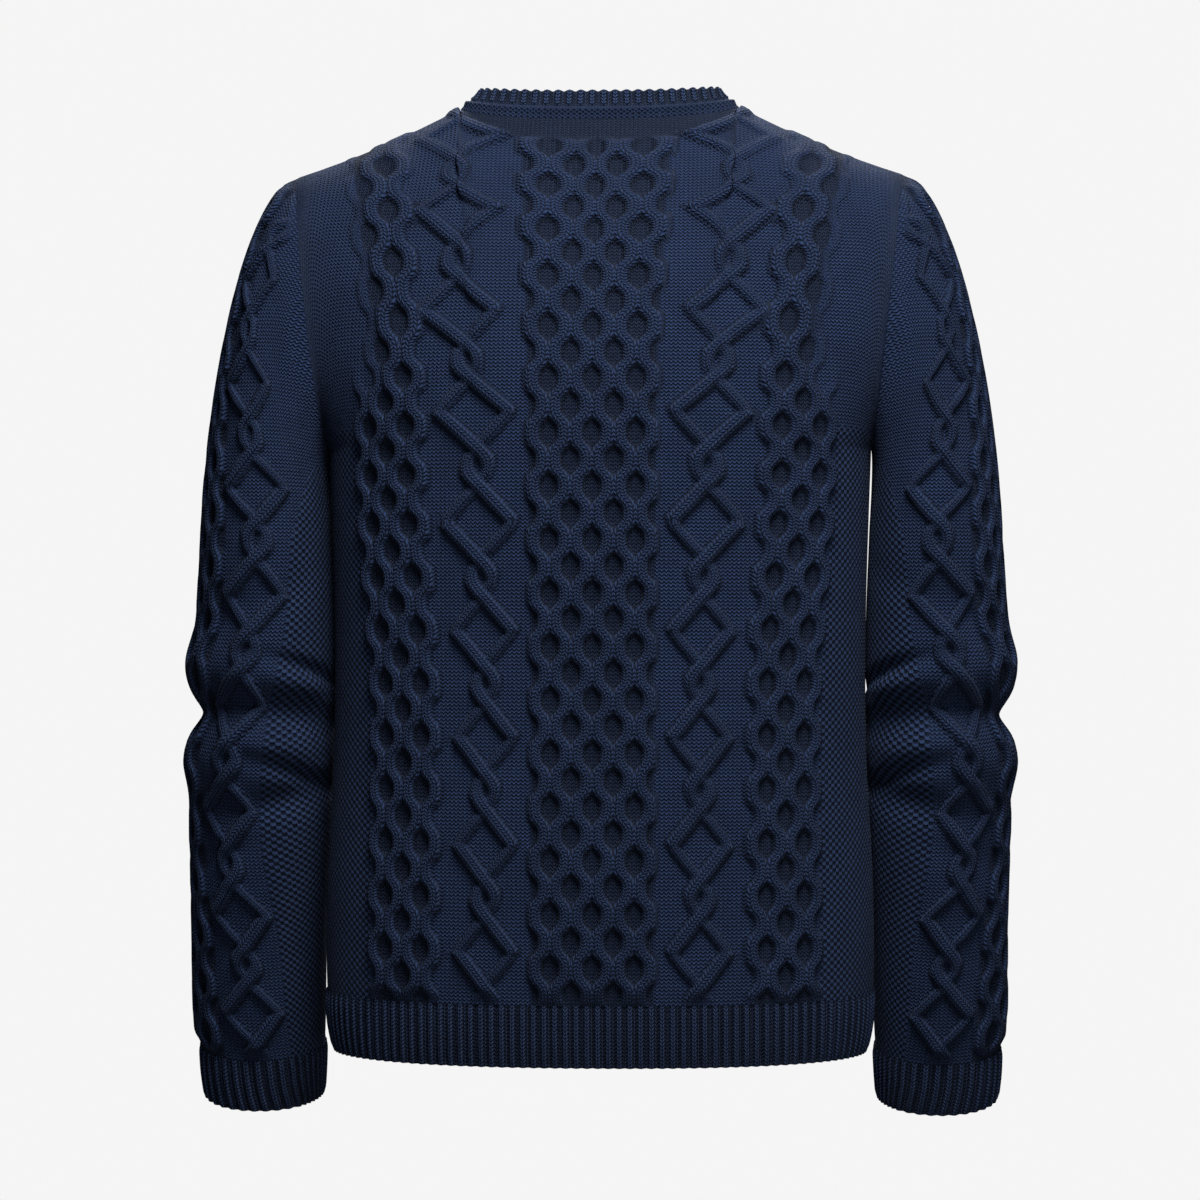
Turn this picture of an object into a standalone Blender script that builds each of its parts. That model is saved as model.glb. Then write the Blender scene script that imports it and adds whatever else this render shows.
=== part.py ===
# Cable-knit cardigan in its worn form: an empty hollow garment with its sleeves hanging.
# Metres, +Z up. The wearer faces -Y, so the back panel is at +Y and the left sleeve at +X.
# The origin is the middle of the line between the two neck points of the shoulders.

import math

import bmesh
import bpy
import numpy as np

# Cloth
WALL = 0.003
NECK_WALL = 0.0045
SEAM_GAP = 0.0003

# Knitting: a course step is half of one honeycomb cell, and a diamond takes four of them
STEP = 0.0179
STRAND_PITCH = 0.014
STRAND_SWAY = 0.003
CABLE_HEIGHT = 0.0048
HOLE_HEIGHT = 0.0002
JOIN_HEIGHT = 0.0036
CABLE_FOOT = 0.0055
DIAMOND_NARROW = 0.0052
DIAMOND_WIDE = 0.0205
DIAMOND_TWIST = 0.4
RIB_PITCH = 0.0072
RIB_HEIGHT = 0.0013

# Columns of the body pattern, from the middle to the side, in flat width
CENTRE_HALF = 0.0405
DIAMOND_AT = 0.072
SIDE_CABLE_AT = 0.132
MOSS_FROM = 0.160
EDGE = 0.244
BAND_HALF = 0.016
LAP_LIFT = 0.00175
LAP_RAMP = 0.030

# Heights and rows of the body
HEM_BOTTOM = -0.657
HEM_SEAM = -0.615
ARMPIT_ROW = 21
TOP_ROW = 35
FRONT_CLOSING = 0.80
ARMPIT = HEM_SEAM + ARMPIT_ROW * STEP
HEM_ROW = (HEM_BOTTOM - HEM_SEAM) / STEP
SECTION_POWER = 2.3

# height, half width, depth of the back, depth of the front
BODY_SECTIONS = np.array([
    (-0.657, 0.1850, 0.1120, 0.1060),
    (-0.640, 0.1885, 0.1150, 0.1090),
    (-0.615, 0.1905, 0.1165, 0.1105),
    (-0.560, 0.1910, 0.1175, 0.1115),
    (-0.440, 0.1845, 0.1150, 0.1100),
    (-0.360, 0.1835, 0.1150, 0.1110),
    (-0.280, 0.1865, 0.1180, 0.1130),
    (ARMPIT, 0.1893, 0.1190, 0.1140),
])

# flat column, arc from the middle at the hips, arc at the chest
COLUMN_ARCS = np.array([
    (0.0, 0.0, 0.0),
    (CENTRE_HALF, 0.0405, 0.0420),
    (DIAMOND_AT, 0.0720, 0.0770),
    (SIDE_CABLE_AT, 0.1320, 0.1450),
    (MOSS_FROM, 0.1600, 0.1740),
])
CHEST_SPREAD_FROM = -0.42

# Neck, shoulder and armhole
NECK_HALF = 0.098
NECK_BACK = (0.038, -0.012)
NECK_FRONT = (-0.082, -0.088)
NECK_POWER = 2.5
NECK_CURVE = 1.6
SHOULDER = np.array([0.2100, 0.0, -0.0470])
SHOULDER_SAG = 0.0030
ARMPIT_AT = np.array([0.1895, 0.0, ARMPIT])
ARMHOLE_DEPTH = {1: 0.088, -1: 0.082}

# Where the columns of each side (1 back, -1 front) end
# flat column, share of the half neckline, share of the shoulder
TOP_COLUMNS = {
    1: np.array([(0.0, 0.0, 0.0), (BAND_HALF, 0.15, 0.0), (CENTRE_HALF, 0.43, 0.0), (DIAMOND_AT, 0.965, 0.0),
                 (SIDE_CABLE_AT, 1.0, 0.62), (MOSS_FROM, 1.0, 0.80), (EDGE, 1.0, 1.0)]),
    -1: np.array([(0.0, 0.0, 0.0), (BAND_HALF, 0.10, 0.0), (CENTRE_HALF, 0.26, 0.0), (DIAMOND_AT, 0.60, 0.0),
                  (SIDE_CABLE_AT, 1.0, 0.58), (MOSS_FROM, 1.0, 0.80), (EDGE, 1.0, 1.0)]),
}

# How the columns of each side (1 back, -1 front) rise from the chest and lean in at the neck, in radians
UPPER_PULLS = {1: (0.085, 0.080, 0.67), -1: (0.062, 0.045, 0.31)}
SHOULDER_PULL = 0.078

# Sleeve rows: the cap ends at the upper arm, and the cuff starts at CUFF_ROW
CAP_ROW = 15
CUFF_ROW = 35
SLEEVE_HALF = 0.150
SLEEVE_DIAMOND_AT = 0.068
SLEEVE_PLAIN_FROM = 0.093
CUFF_RIBS = 36
SLEEVE_INNER_COUNT = 12
SLEEVE_INNER_ROWS = (0.0, 4.0, 8.0, 12.0, 15.0, 17.0, 19.0, 20.0,
                     21.0, 22.0, 23.0, 24.0, 25.0, 27.0, 31.0, 35.0)

# row, height, outer x, inner x, middle y, half depth, tilt in degrees, pattern shift to the back
SLEEVE_SECTIONS = np.array([
    (15.0, -0.302, 0.2762, 0.1892, -0.002, 0.0650, 0.0, 0.018),
    (18.0, -0.357, 0.2800, 0.1870, -0.006, 0.0610, 2.0, 0.012),
    (22.0, -0.430, 0.2840, 0.1872, -0.014, 0.0560, 6.0, -0.004),
    (26.0, -0.501, 0.2862, 0.1905, -0.027, 0.0520, 10.0, -0.009),
    (30.0, -0.572, 0.2860, 0.1940, -0.042, 0.0490, 12.0, 0.000),
    (34.0, -0.643, 0.2868, 0.1965, -0.057, 0.0460, 12.0, 0.004),
    (35.0, -0.661, 0.2862, 0.1975, -0.061, 0.0440, 12.0, 0.004),
    (36.0, -0.680, 0.2858, 0.1985, -0.065, 0.0425, 12.0, 0.004),
    (37.1, -0.699, 0.2840, 0.2000, -0.069, 0.0400, 12.0, 0.004),
])
# In the photo both forearms hang a little towards the wearer's left
SLEEVE_DRIFT = 0.0035
DRIFT_FROM = -0.34
DRIFT_TO = -0.60

# Pulls of the cap cloth where it leaves the armhole, from the shoulder to the underarm
# share of the armhole, leaving x, leaving y, leaving z, arriving x, arriving y, arriving z
CAP_PULLS = np.array([
    (0.00, 0.037, 0.000, -0.028, -0.004, 0.000, 0.110),
    (0.25, 0.040, 0.010, -0.022, -0.003, 0.003, 0.090),
    (0.50, 0.028, 0.010, -0.034, 0.000, 0.004, 0.060),
    (0.75, 0.011, 0.005, -0.022, 0.000, 0.002, 0.034),
    (1.00, 0.0012, 0.000, -0.018, 0.0006, 0.000, 0.018),
])

# Elbow folds: height, angle from the outer line towards the back, reach in height, reach in angle, size
FOLDS = np.array([
    (-0.388, 0.2, 0.020, 1.5, 0.0055),
    (-0.424, 0.1, 0.015, 1.2, -0.0080),
    (-0.421, 1.9, 0.016, 0.9, -0.0075),
    (-0.455, 0.5, 0.018, 1.4, 0.0040),
    (-0.484, 1.9, 0.016, 0.8, -0.0065),
    (-0.402, -1.7, 0.016, 1.0, -0.0065),
    (-0.435, -1.7, 0.016, 1.0, 0.0040),
    (-0.466, -1.6, 0.016, 1.0, -0.0050),
])

# Neckband and buttons
NECKBAND_WIDTH = 0.023
NECK_LEAN = {"back": 0.40, "side": 1.70, "front": 0.75}
NECK_SEAM_OUT = {"back": 1.7, "side": 0.41, "front": 1.9}
NECK_RIDGE = 0.0026
NECK_RIBS = 68
BUTTON_COUNT = 7
BUTTON_RADIUS = 0.010
BUTTON_THICK = 0.0036
BUTTON_SIDES = 12
BUTTON_MARGIN = 0.020
BAND_ROWS = 24
BAND_RIBS = 4

NAVY = (0.020, 0.031, 0.066, 1.0)
BUTTON_NAVY = (0.012, 0.017, 0.030, 1.0)


def clear_scene():
    for item in list(bpy.data.objects):
        bpy.data.objects.remove(item)


def material(name, colour, roughness):
    made = bpy.data.materials.new(name)
    made.use_nodes = True
    shader = made.node_tree.nodes["Principled BSDF"]
    shader.inputs["Base Color"].default_value = colour
    shader.inputs["Roughness"].default_value = roughness
    shader.inputs["Metallic"].default_value = 0.0
    return made


def smooth_step(low, high, value):
    share = np.clip((value - low) / (high - low), 0.0, 1.0)
    return share * share * (3.0 - 2.0 * share)


def smooth_table(value, places, heights):
    # a cubic through the table's rows, with each row's slope taken from its neighbours
    slopes = np.gradient(heights, places)
    value = np.clip(np.asarray(value, float), places[0], places[-1])
    at = np.clip(np.searchsorted(places, value, side="right") - 1, 0, len(places) - 2)
    span = places[at + 1] - places[at]
    t = (value - places[at]) / span
    return ((2 * t**3 - 3 * t**2 + 1) * heights[at] + (t**3 - 2 * t**2 + t) * span * slopes[at]
            + (3 * t**2 - 2 * t**3) * heights[at + 1] + (t**3 - t**2) * span * slopes[at + 1])


def bezier(start, leave, arrive, end, t):
    t = np.asarray(t, float)[..., None]
    return ((1 - t) ** 3 * start + 3 * (1 - t) ** 2 * t * leave
            + 3 * (1 - t) * t**2 * arrive + t**3 * end)


def unit(vectors):
    return vectors / np.maximum(np.linalg.norm(vectors, axis=-1, keepdims=True), 1e-12)


def lengths_of(points):
    return np.concatenate([[0.0], np.cumsum(np.linalg.norm(np.diff(points, axis=0), axis=1))])


def along(points, arc):
    # the point at each arc length of a polyline, and the whole length
    lengths = lengths_of(points)
    return np.stack([np.interp(arc, lengths, points[:, i]) for i in range(points.shape[1])], -1), lengths[-1]


# Body

def quarter_section(height, side):
    half_width = smooth_table(height, BODY_SECTIONS[:, 0], BODY_SECTIONS[:, 1])
    depth = smooth_table(height, BODY_SECTIONS[:, 0], BODY_SECTIONS[:, 2 if side > 0 else 3])
    turn = np.linspace(0.0, math.pi / 2, 160)
    x = half_width * np.sin(turn) ** (2 / SECTION_POWER)
    y = side * depth * np.maximum(np.cos(turn), 0.0) ** (2 / SECTION_POWER)
    return np.stack([x, y], -1)


def section_points(height, side, columns):
    outline = quarter_section(height, side)
    total = along(outline, 0.0)[1]
    spread = smooth_step(CHEST_SPREAD_FROM, ARMPIT, height)
    arcs = COLUMN_ARCS[:, 1] * (1 - spread) + COLUMN_ARCS[:, 2] * spread
    arc = np.interp(np.abs(columns), np.append(COLUMN_ARCS[:, 0], EDGE), np.append(arcs, total))
    flat = along(outline, arc)[0]
    return np.stack([np.sign(columns) * flat[:, 0], flat[:, 1], np.full(len(columns), height)], -1)


def top_line(side):
    depth, drop = NECK_BACK if side > 0 else NECK_FRONT
    turn = np.linspace(0.0, math.pi / 2, 80)
    across = NECK_HALF * np.sin(turn) ** (2 / NECK_POWER)
    share = np.maximum(np.cos(turn), 0.0) ** (2 / NECK_POWER)
    neck = np.stack([across, depth * share, drop * share ** NECK_CURVE], -1)
    return neck, along(neck, 0.0)[1]


def top_points(side, columns):
    neck, neck_length = top_line(side)
    t = shares(9)[1:, None]
    shoulder = neck[-1] + (SHOULDER - neck[-1]) * t - np.array([0.0, 0.0, 4 * SHOULDER_SAG]) * t * (1 - t)
    whole = np.concatenate([neck, shoulder])
    shoulder_length = along(whole, 0.0)[1] - neck_length
    arcs = TOP_COLUMNS[side][:, 1] * neck_length + TOP_COLUMNS[side][:, 2] * shoulder_length
    arcs[1] = np.interp(BAND_HALF, neck[:, 0], lengths_of(neck))
    arc = np.interp(np.abs(columns), TOP_COLUMNS[side][:, 0], arcs)
    found = along(whole, arc)[0]
    found[:, 0] *= np.sign(columns)
    return found, arc / neck_length


def armhole_edge(side, share):
    # the left armhole from the armpit to the shoulder, by the back or by the front
    reach = np.array([0.0, side * ARMHOLE_DEPTH[side], 0.0])
    return bezier(ARMPIT_AT, ARMPIT_AT + reach, SHOULDER + reach, SHOULDER, share)


def upper_points(side, row, columns):
    # each column rises from the chest section and leans over to the neck or the shoulder seam
    columns = np.where(np.abs(columns) < 1e-9, 1e-9, columns)
    t = np.full(len(columns), (row - ARMPIT_ROW) / (TOP_ROW - ARMPIT_ROW))
    start = section_points(ARMPIT, side, columns)
    end = top_points(side, columns)[0]
    rise, neck_pull, neck_lean = UPPER_PULLS[side]
    over = 1 - end[:, 1] / (NECK_BACK if side > 0 else NECK_FRONT)[0]
    lean = neck_lean + (math.pi / 2 - neck_lean) * over
    arrival = np.stack([np.zeros(len(columns)), -side * np.sin(lean), np.cos(lean)], -1)
    pull = (neck_pull + (SHOULDER_PULL - neck_pull) * over)[:, None]
    leave = start + np.array([0.0, side * 0.003, rise])
    arrive = end - arrival * pull
    found = bezier(start, leave, arrive, end, t)
    edge_start = section_points(ARMPIT, side, np.array([EDGE]))
    edge_end = SHOULDER[None]
    free_edge = bezier(edge_start, edge_start + np.array([0.0, side * 0.003, rise]),
                       edge_end + np.array([0.0, side * SHOULDER_PULL, 0.0]), edge_end, t[:1])
    held_edge = armhole_edge(side, t[:1])
    weight = np.clip(np.abs(columns) / EDGE, 0, 1)[:, None] ** 4
    shift = weight * (held_edge - free_edge)
    shift[:, 0] *= np.sign(columns)
    return found + shift


def body_points(side, row, columns):
    columns = np.asarray(columns, float)
    if row <= ARMPIT_ROW:
        return section_points(HEM_SEAM + row * STEP, side, np.where(np.abs(columns) < 1e-9, 1e-9, columns))
    return upper_points(side, row, columns)


def outward(side, row, columns):
    # the body surface's outward direction, from small steps across and up
    step_k, step_r = 0.0006, 0.06
    low_k, high_k = np.maximum(columns - step_k, -EDGE), np.minimum(columns + step_k, EDGE)
    low_r, high_r = max(row - step_r, HEM_ROW), min(row + step_r, TOP_ROW)
    across = body_points(side, row, high_k) - body_points(side, row, low_k)
    up = body_points(side, high_r, columns) - body_points(side, low_r, columns)
    return -side * unit(np.cross(across, up))


def armhole_plane():
    # points out of the body, across the armhole's flat opening
    return unit(np.cross(np.array([0.0, 1.0, 0.0]), unit(SHOULDER - ARMPIT_AT)))


def neck_out(points):
    # the level direction square to the neck's oval
    depth = np.where(points[:, 1] > 0, NECK_BACK[0], NECK_FRONT[0])
    return unit(np.stack([points[:, 0] / NECK_HALF**2, points[:, 1] / depth**2], -1))


def neck_seam_normal(points, tangent):
    # the wall direction that the neckband shares with the panels at the neck seam
    flat = neck_out(points)
    side_share = flat[:, 0] ** 2
    out = np.where(flat[:, 1] > 0, NECK_SEAM_OUT["back"], NECK_SEAM_OUT["front"])
    out = out * (1 - side_share) + NECK_SEAM_OUT["side"] * side_share
    found = np.stack([flat[:, 0] * out, flat[:, 1] * out, np.ones(len(points))], -1)
    found -= np.einsum("ij,ij->i", found, tangent)[:, None] * tangent
    return unit(found)


def body_normals(side, row, columns):
    found = outward(side, row, columns)
    at_edge = np.abs(columns) > EDGE - 1e-6
    if row < 0.01:
        found[:, 2] = 0.0
    if row <= ARMPIT_ROW:
        found[at_edge, 1] = 0.0
    if row > TOP_ROW - 0.01:
        points, neck_share = top_points(side, columns)
        behind = top_points(side, columns - np.where(columns < 0, -0.0006, 0.0006))[0]
        on_neck = neck_share < 1.001
        found[on_neck] = neck_seam_normal(points[on_neck], unit(points - behind)[on_neck])
        found[~on_neck, 1] = 0.0
    if row >= ARMPIT_ROW:
        plane = armhole_plane() * np.stack([np.sign(columns[at_edge]), np.ones(at_edge.sum()),
                                            np.ones(at_edge.sum())], -1)
        back_off = np.minimum(np.einsum("ij,ij->i", found[at_edge], plane), 0.0)
        found[at_edge] -= back_off[:, None] * plane
    return unit(found)


# Knitted relief: the places of the cable strands and the heights on and between them

def strand_offset(index, step):
    return STRAND_SWAY * (-1) ** index * -np.cos(np.pi * step)


def column_height(index, step):
    closed = 0.5 + 0.5 * (-1) ** index * np.cos(np.pi * step)
    return HOLE_HEIGHT + (JOIN_HEIGHT - HOLE_HEIGHT) * closed


def honeycomb(middle, first, last, step):
    # strands first..last - 1 and the hole columns between them, as (flat column, height)
    foot = CABLE_FOOT + 0.001
    rows = [(middle + STRAND_PITCH * (first + 0.5) + strand_offset(first, step) - foot, 0.0)]
    for index in range(first, last):
        if index > first:
            rows.append((middle + STRAND_PITCH * index, column_height(index, step)))
        strand = middle + STRAND_PITCH * (index + 0.5) + strand_offset(index, step)
        rows.append((strand, CABLE_HEIGHT))
    rows.append((strand + foot, 0.0))
    return rows


def diamond_spread(step):
    from_twist = np.abs((step + 2.0) % 4.0 - 2.0)
    open_share = np.clip((from_twist - DIAMOND_TWIST) / (2.0 - DIAMOND_TWIST), 0.0, 1.0)
    return DIAMOND_NARROW + (DIAMOND_WIDE - DIAMOND_NARROW) * open_share


def diamond(middle, step):
    spread = diamond_spread(step)
    inner = min(CABLE_FOOT, spread - 0.0006)
    floor = 0.0 if spread > CABLE_FOOT + 0.001 else JOIN_HEIGHT
    half = [(spread - inner, floor), (spread, CABLE_HEIGHT), (spread + CABLE_FOOT, 0.0)]
    return [(middle - k, h) for k, h in reversed(half)] + [(middle + k, h) for k, h in half]


def side_pattern(step):
    # the columns of one side, from the diamond outwards to the seam
    rows = diamond(DIAMOND_AT, step)
    rows += honeycomb(SIDE_CABLE_AT, -2, 2, step)
    rows.append((0.5 * (MOSS_FROM + EDGE) + 0.008, 0.0))
    rows.append((EDGE, 0.0))
    return rows


def settle_outer_strand(rows, row):
    # above the armpit the outermost strand of the side cable is left out
    fade = float(smooth_step(ARMPIT_ROW + 2.5, ARMPIT_ROW + 0.5, row))
    place = len(rows) - 4
    rows[place] = (rows[place][0], rows[place][1] * fade)
    rows[place - 1] = (rows[place - 1][0], rows[place - 1][1] * (0.3 + 0.7 * fade))
    return rows


def back_pattern(row):
    side = settle_outer_strand(side_pattern(row), row)
    middle = honeycomb(0.0, -3, 3, row)
    return np.array([(-k, h) for k, h in reversed(side)] + middle + side)


def front_step(row):
    # the diamonds above the armpit close up towards the front neck, where the columns are shorter
    return row if row <= ARMPIT_ROW else ARMPIT_ROW + (row - ARMPIT_ROW) * FRONT_CLOSING


def front_pattern(row):
    # plain next to the band, and the diamonds settle below the neckline
    side = settle_outer_strand(side_pattern(row), row)[6:]
    fade = 1.0 - float(smooth_step(TOP_ROW - 6, TOP_ROW - 2, row))
    diamonds = [(column, height * fade) for column, height in diamond(DIAMOND_AT, front_step(row))]
    return np.array([(BAND_HALF, 0.0), (0.031, 0.0)] + diamonds + side)


# Walls

def strip(mesh, first, second, first_at, second_at):
    # triangles between two polylines that run side by side
    i = j = 0
    while i < len(first) - 1 or j < len(second) - 1:
        if j == len(second) - 1 or (i < len(first) - 1 and first_at[i + 1] <= second_at[j + 1]):
            mesh.faces.new((first[i], first[i + 1], second[j]))
            i += 1
        else:
            mesh.faces.new((first[i], second[j + 1], second[j]))
            j += 1


def grid(mesh, points, places):
    # faces between rows of points; rows of unequal length are joined by where their points lie across
    verts = [[mesh.verts.new(p) for p in row] for row in points]
    for k, (low, high) in enumerate(zip(verts, verts[1:])):
        if len(low) == len(high):
            for i in range(len(low) - 1):
                mesh.faces.new((low[i], low[i + 1], high[i + 1], high[i]))
        else:
            strip(mesh, low, high, places[k], places[k + 1])
    return verts


def shares(count):
    return np.linspace(0.0, 1.0, count)


def finish(mesh, name, finish_material):
    bmesh.ops.triangulate(mesh, faces=mesh.faces[:])
    bmesh.ops.recalc_face_normals(mesh, faces=mesh.faces[:])
    if mesh.calc_volume(signed=True) < 0:
        bmesh.ops.reverse_faces(mesh, faces=mesh.faces[:])
    data = bpy.data.meshes.new(name)
    mesh.to_mesh(data)
    mesh.free()
    data.shade_smooth()
    data.set_sharp_from_angle(angle=math.radians(50))
    data.materials.append(finish_material)
    item = bpy.data.objects.new(name, data)
    bpy.context.scene.collection.objects.link(item)
    return item


def sheet_wall(name, outer, inner, finish_material):
    # an open panel of two faces, each given as rows of points, their places across and their places up
    mesh = bmesh.new()
    out, into = grid(mesh, outer[0], outer[1]), grid(mesh, inner[0], inner[1])
    for pick in (0, -1):
        strip(mesh, out[pick], into[pick], outer[1][pick], inner[1][pick])
        strip(mesh, [row[pick] for row in out], [row[pick] for row in into], outer[2], inner[2])
    return finish(mesh, name, finish_material)


def tube_wall(name, outer, inner, outer_at, inner_at, finish_material):
    # a closed tube: each row's last point meets its first
    mesh = bmesh.new()
    sides = []
    for points in (outer, inner):
        verts = [[mesh.verts.new(p) for p in row] for row in points]
        for row in verts:
            row.append(row[0])
        for low, high in zip(verts, verts[1:]):
            for i in range(len(low) - 1):
                mesh.faces.new((low[i], low[i + 1], high[i + 1], high[i]))
        sides.append(verts)
    for pick in (0, -1):
        strip(mesh, sides[0][pick], sides[1][pick], outer_at, inner_at)
    return finish(mesh, name, finish_material)


def lap(columns, lift):
    return lift * (1 - smooth_step(BAND_HALF, BAND_HALF + LAP_RAMP, np.abs(columns)))


def body_wall(side, row, columns, heights, lift):
    normals = body_normals(side, row, columns)
    base = body_points(side, row, columns) + normals * lap(columns, lift)[:, None]
    return base + normals * heights[:, None], base - normals * WALL


def seat_edges(points, side, row, columns, mirror):
    # pulls a panel's own edges back by half a seam gap
    half = SEAM_GAP / 2
    points = points.copy()
    at_edge = np.abs(columns) > EDGE - 1e-6
    on_seam = at_edge | (row > TOP_ROW - 0.01)
    points[on_seam, 1] = side * np.maximum(side * points[on_seam, 1], half)
    if row >= ARMPIT_ROW:
        points[at_edge, 0] -= np.sign(columns[at_edge]) * half
    if side < 0:
        points[0, 0] = mirror * (BAND_HALF + half)
    return points


def top_columns(side, lowest):
    # evenly spaced places on the neckline, the neck point itself, and a few on the shoulder seam
    columns = np.linspace(0.0, SIDE_CABLE_AT, 2001)
    neck_share = top_points(side, columns)[1]
    corner = float(columns[np.argmax(neck_share >= 1.0)])
    count = 23 if side > 0 else 34
    neck_part = columns <= corner
    on_neck = np.interp(shares(count), neck_share[neck_part], columns[neck_part])
    on_neck = np.append(lowest, on_neck[on_neck > lowest + 0.001])
    return np.concatenate([on_neck, np.linspace(corner, EDGE, 9)[1:]])


def panel(name, side, pattern, lift, mirror, finish_material):
    half = np.array([BAND_HALF, CENTRE_HALF, DIAMOND_AT, 0.102, SIDE_CABLE_AT, 0.168, 0.210, EDGE])
    if side > 0:
        half[0] = 0.0
    top_half = top_columns(side, half[0])
    plain_columns, top = half * mirror, top_half * mirror
    if side > 0:
        plain_columns = np.concatenate([-half[:0:-1], half])
        top = np.concatenate([-top_half[:0:-1], top_half])
    outer_rows = np.arange(0, TOP_ROW + 1).astype(float)
    inner_rows = np.append(np.arange(0, ARMPIT_ROW, 3), np.arange(ARMPIT_ROW, TOP_ROW + 1, 2)).astype(float)
    faces = []
    for rows, relief in ((outer_rows, True), (inner_rows, False)):
        lines, places = [], []
        for row in rows:
            columns = top if row >= TOP_ROW - 2 else plain_columns
            heights = np.zeros(len(columns))
            if relief:
                made = pattern(row)
                if row < TOP_ROW - 2:
                    columns = made[:, 0] * mirror
                fade = smooth_step(-0.2, 1.0, row) * (1 - smooth_step(TOP_ROW - 1.4, TOP_ROW, row))
                heights = np.interp(columns * mirror, made[:, 0], made[:, 1]) * float(fade)
            points = body_wall(side, row, columns, heights, lift)[0 if relief else 1]
            lines.append(seat_edges(points, side, row, columns, mirror))
            places.append(np.abs(columns - columns[0]) / np.abs(columns[-1] - columns[0]))
        lines[0][:, 2] += SEAM_GAP / 2
        faces.append((lines, places, rows / TOP_ROW))
    return sheet_wall(name, faces[0], faces[1], finish_material)


def rib_heights(count, crest):
    return np.where(np.arange(count) % 2 == 0, 0.0, crest)


def hem_rib(name, side, low, high, lift, finish_material):
    count = 2 * int(round(abs(high - low) / RIB_PITCH)) + 1
    faces = []
    for steps in (count, 17 if side > 0 else 9):
        columns = np.linspace(low, high, steps)
        heights = rib_heights(steps, RIB_HEIGHT)
        lines = []
        for row in (HEM_ROW, 0.0):
            points = body_wall(side, row, columns, heights, lift)[0 if steps == count else 1]
            lines.append(seat_edges(points, side, row, columns, np.sign(high)))
        lines[-1][:, 2] -= SEAM_GAP / 2
        faces.append((lines, [shares(steps)] * 2, [0.0, 1.0]))
    return sheet_wall(name, faces[0], faces[1], finish_material)


# Sleeves

def sleeve_value(row, index):
    return smooth_table(row, SLEEVE_SECTIONS[:, 0], SLEEVE_SECTIONS[:, index])


def sleeve_ring(row, columns):
    # one section of the arm tube, from the outer line round by the back
    named = (sleeve_value(row, i) for i in range(1, 8))
    height, outer_x, inner_x, middle_y, half_depth, tilt, shift = named
    half_width = (outer_x - inner_x) / 2
    turn = np.linspace(0.0, math.pi, 121)
    outline = np.stack([half_width * np.cos(turn), half_depth * np.sin(turn)], -1)
    total = along(outline, 0.0)[1]
    toward = np.sign(columns)
    plain = np.clip((np.abs(columns) - SLEEVE_PLAIN_FROM) / (SLEEVE_HALF - SLEEVE_PLAIN_FROM), 0.0, 1.0)
    arc = toward * np.minimum(np.abs(columns), SLEEVE_PLAIN_FROM) + shift
    arc = arc + toward * plain * (total - SLEEVE_PLAIN_FROM - toward * shift)
    flat = along(outline, np.abs(arc))[0]
    across, deep = flat[:, 0], np.sign(arc) * flat[:, 1]
    angle = np.arctan2(deep, across)
    lean = math.radians(tilt)
    fall = height - deep * math.sin(lean)
    fold = np.zeros(len(columns))
    for at, around, reach, spread, size_of in FOLDS:
        off = (angle - around + math.pi) % (2 * math.pi) - math.pi
        fold += size_of * np.exp(-((fall - at) / reach) ** 2 - (off / spread) ** 2)
    inner_side = smooth_step(2.2, 2.9, np.abs(angle))
    fold = np.where(fold > 0, fold * (1 - inner_side), fold)
    x = (outer_x + inner_x) / 2 + across + fold * np.cos(angle)
    y = middle_y + (deep + fold * np.sin(angle)) * math.cos(lean)
    return np.stack([x, y, fall], -1)


def armhole_loop(share_from_top, toward):
    side = np.where(toward >= 0, 1, -1)
    found = np.empty((len(side), 3))
    for pick in (1, -1):
        dense = armhole_edge(pick, np.linspace(1.0, 0.0, 121))
        length = along(dense, 0.0)[1]
        chosen = side == pick
        found[chosen] = along(dense, share_from_top[chosen] * length)[0]
    return found


def sleeve_points(row, columns):
    columns = np.asarray(columns, float)
    if row >= CAP_ROW:
        return sleeve_ring(row, columns)
    size = np.abs(columns)
    share = np.interp(size, [0.0, SLEEVE_PLAIN_FROM, SLEEVE_HALF], [0.0, 0.46, 1.0])
    start = armhole_loop(share, columns)
    start[:, 0] += SEAM_GAP / 2
    end = sleeve_ring(CAP_ROW, columns)
    toward = np.where(columns >= 0, 1.0, -1.0)
    pulls = np.stack([np.interp(share, CAP_PULLS[:, 0], CAP_PULLS[:, i]) for i in range(1, 7)], -1)
    pulls[:, [1, 4]] *= toward[:, None]
    t = np.full(len(columns), row / CAP_ROW)
    return bezier(start, start + pulls[:, :3], end + pulls[:, 3:], end, t)


def cuff_axis():
    lean = math.radians(float(sleeve_value(CUFF_ROW, 6)))
    return np.array([0.0, -math.sin(lean), -math.cos(lean)])


def sleeve_normals(row, columns):
    step_k, step_r = 0.0008, 0.05
    low_r, high_r = max(row - step_r, 0.0), min(row + step_r, SLEEVE_SECTIONS[-1, 0])
    ahead = (columns + step_k + SLEEVE_HALF) % (2 * SLEEVE_HALF) - SLEEVE_HALF
    behind = (columns - step_k + SLEEVE_HALF) % (2 * SLEEVE_HALF) - SLEEVE_HALF
    across = sleeve_points(row, ahead) - sleeve_points(row, behind)
    down = sleeve_points(high_r, columns) - sleeve_points(low_r, columns)
    found = unit(np.cross(down, across))
    if row < 0.01:
        plane = armhole_plane()
        found -= np.maximum(found @ plane, 0.0)[:, None] * plane
    if abs(row - CUFF_ROW) < 0.01:
        found -= (found @ cuff_axis())[:, None] * cuff_axis()
    return unit(found)


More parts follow.
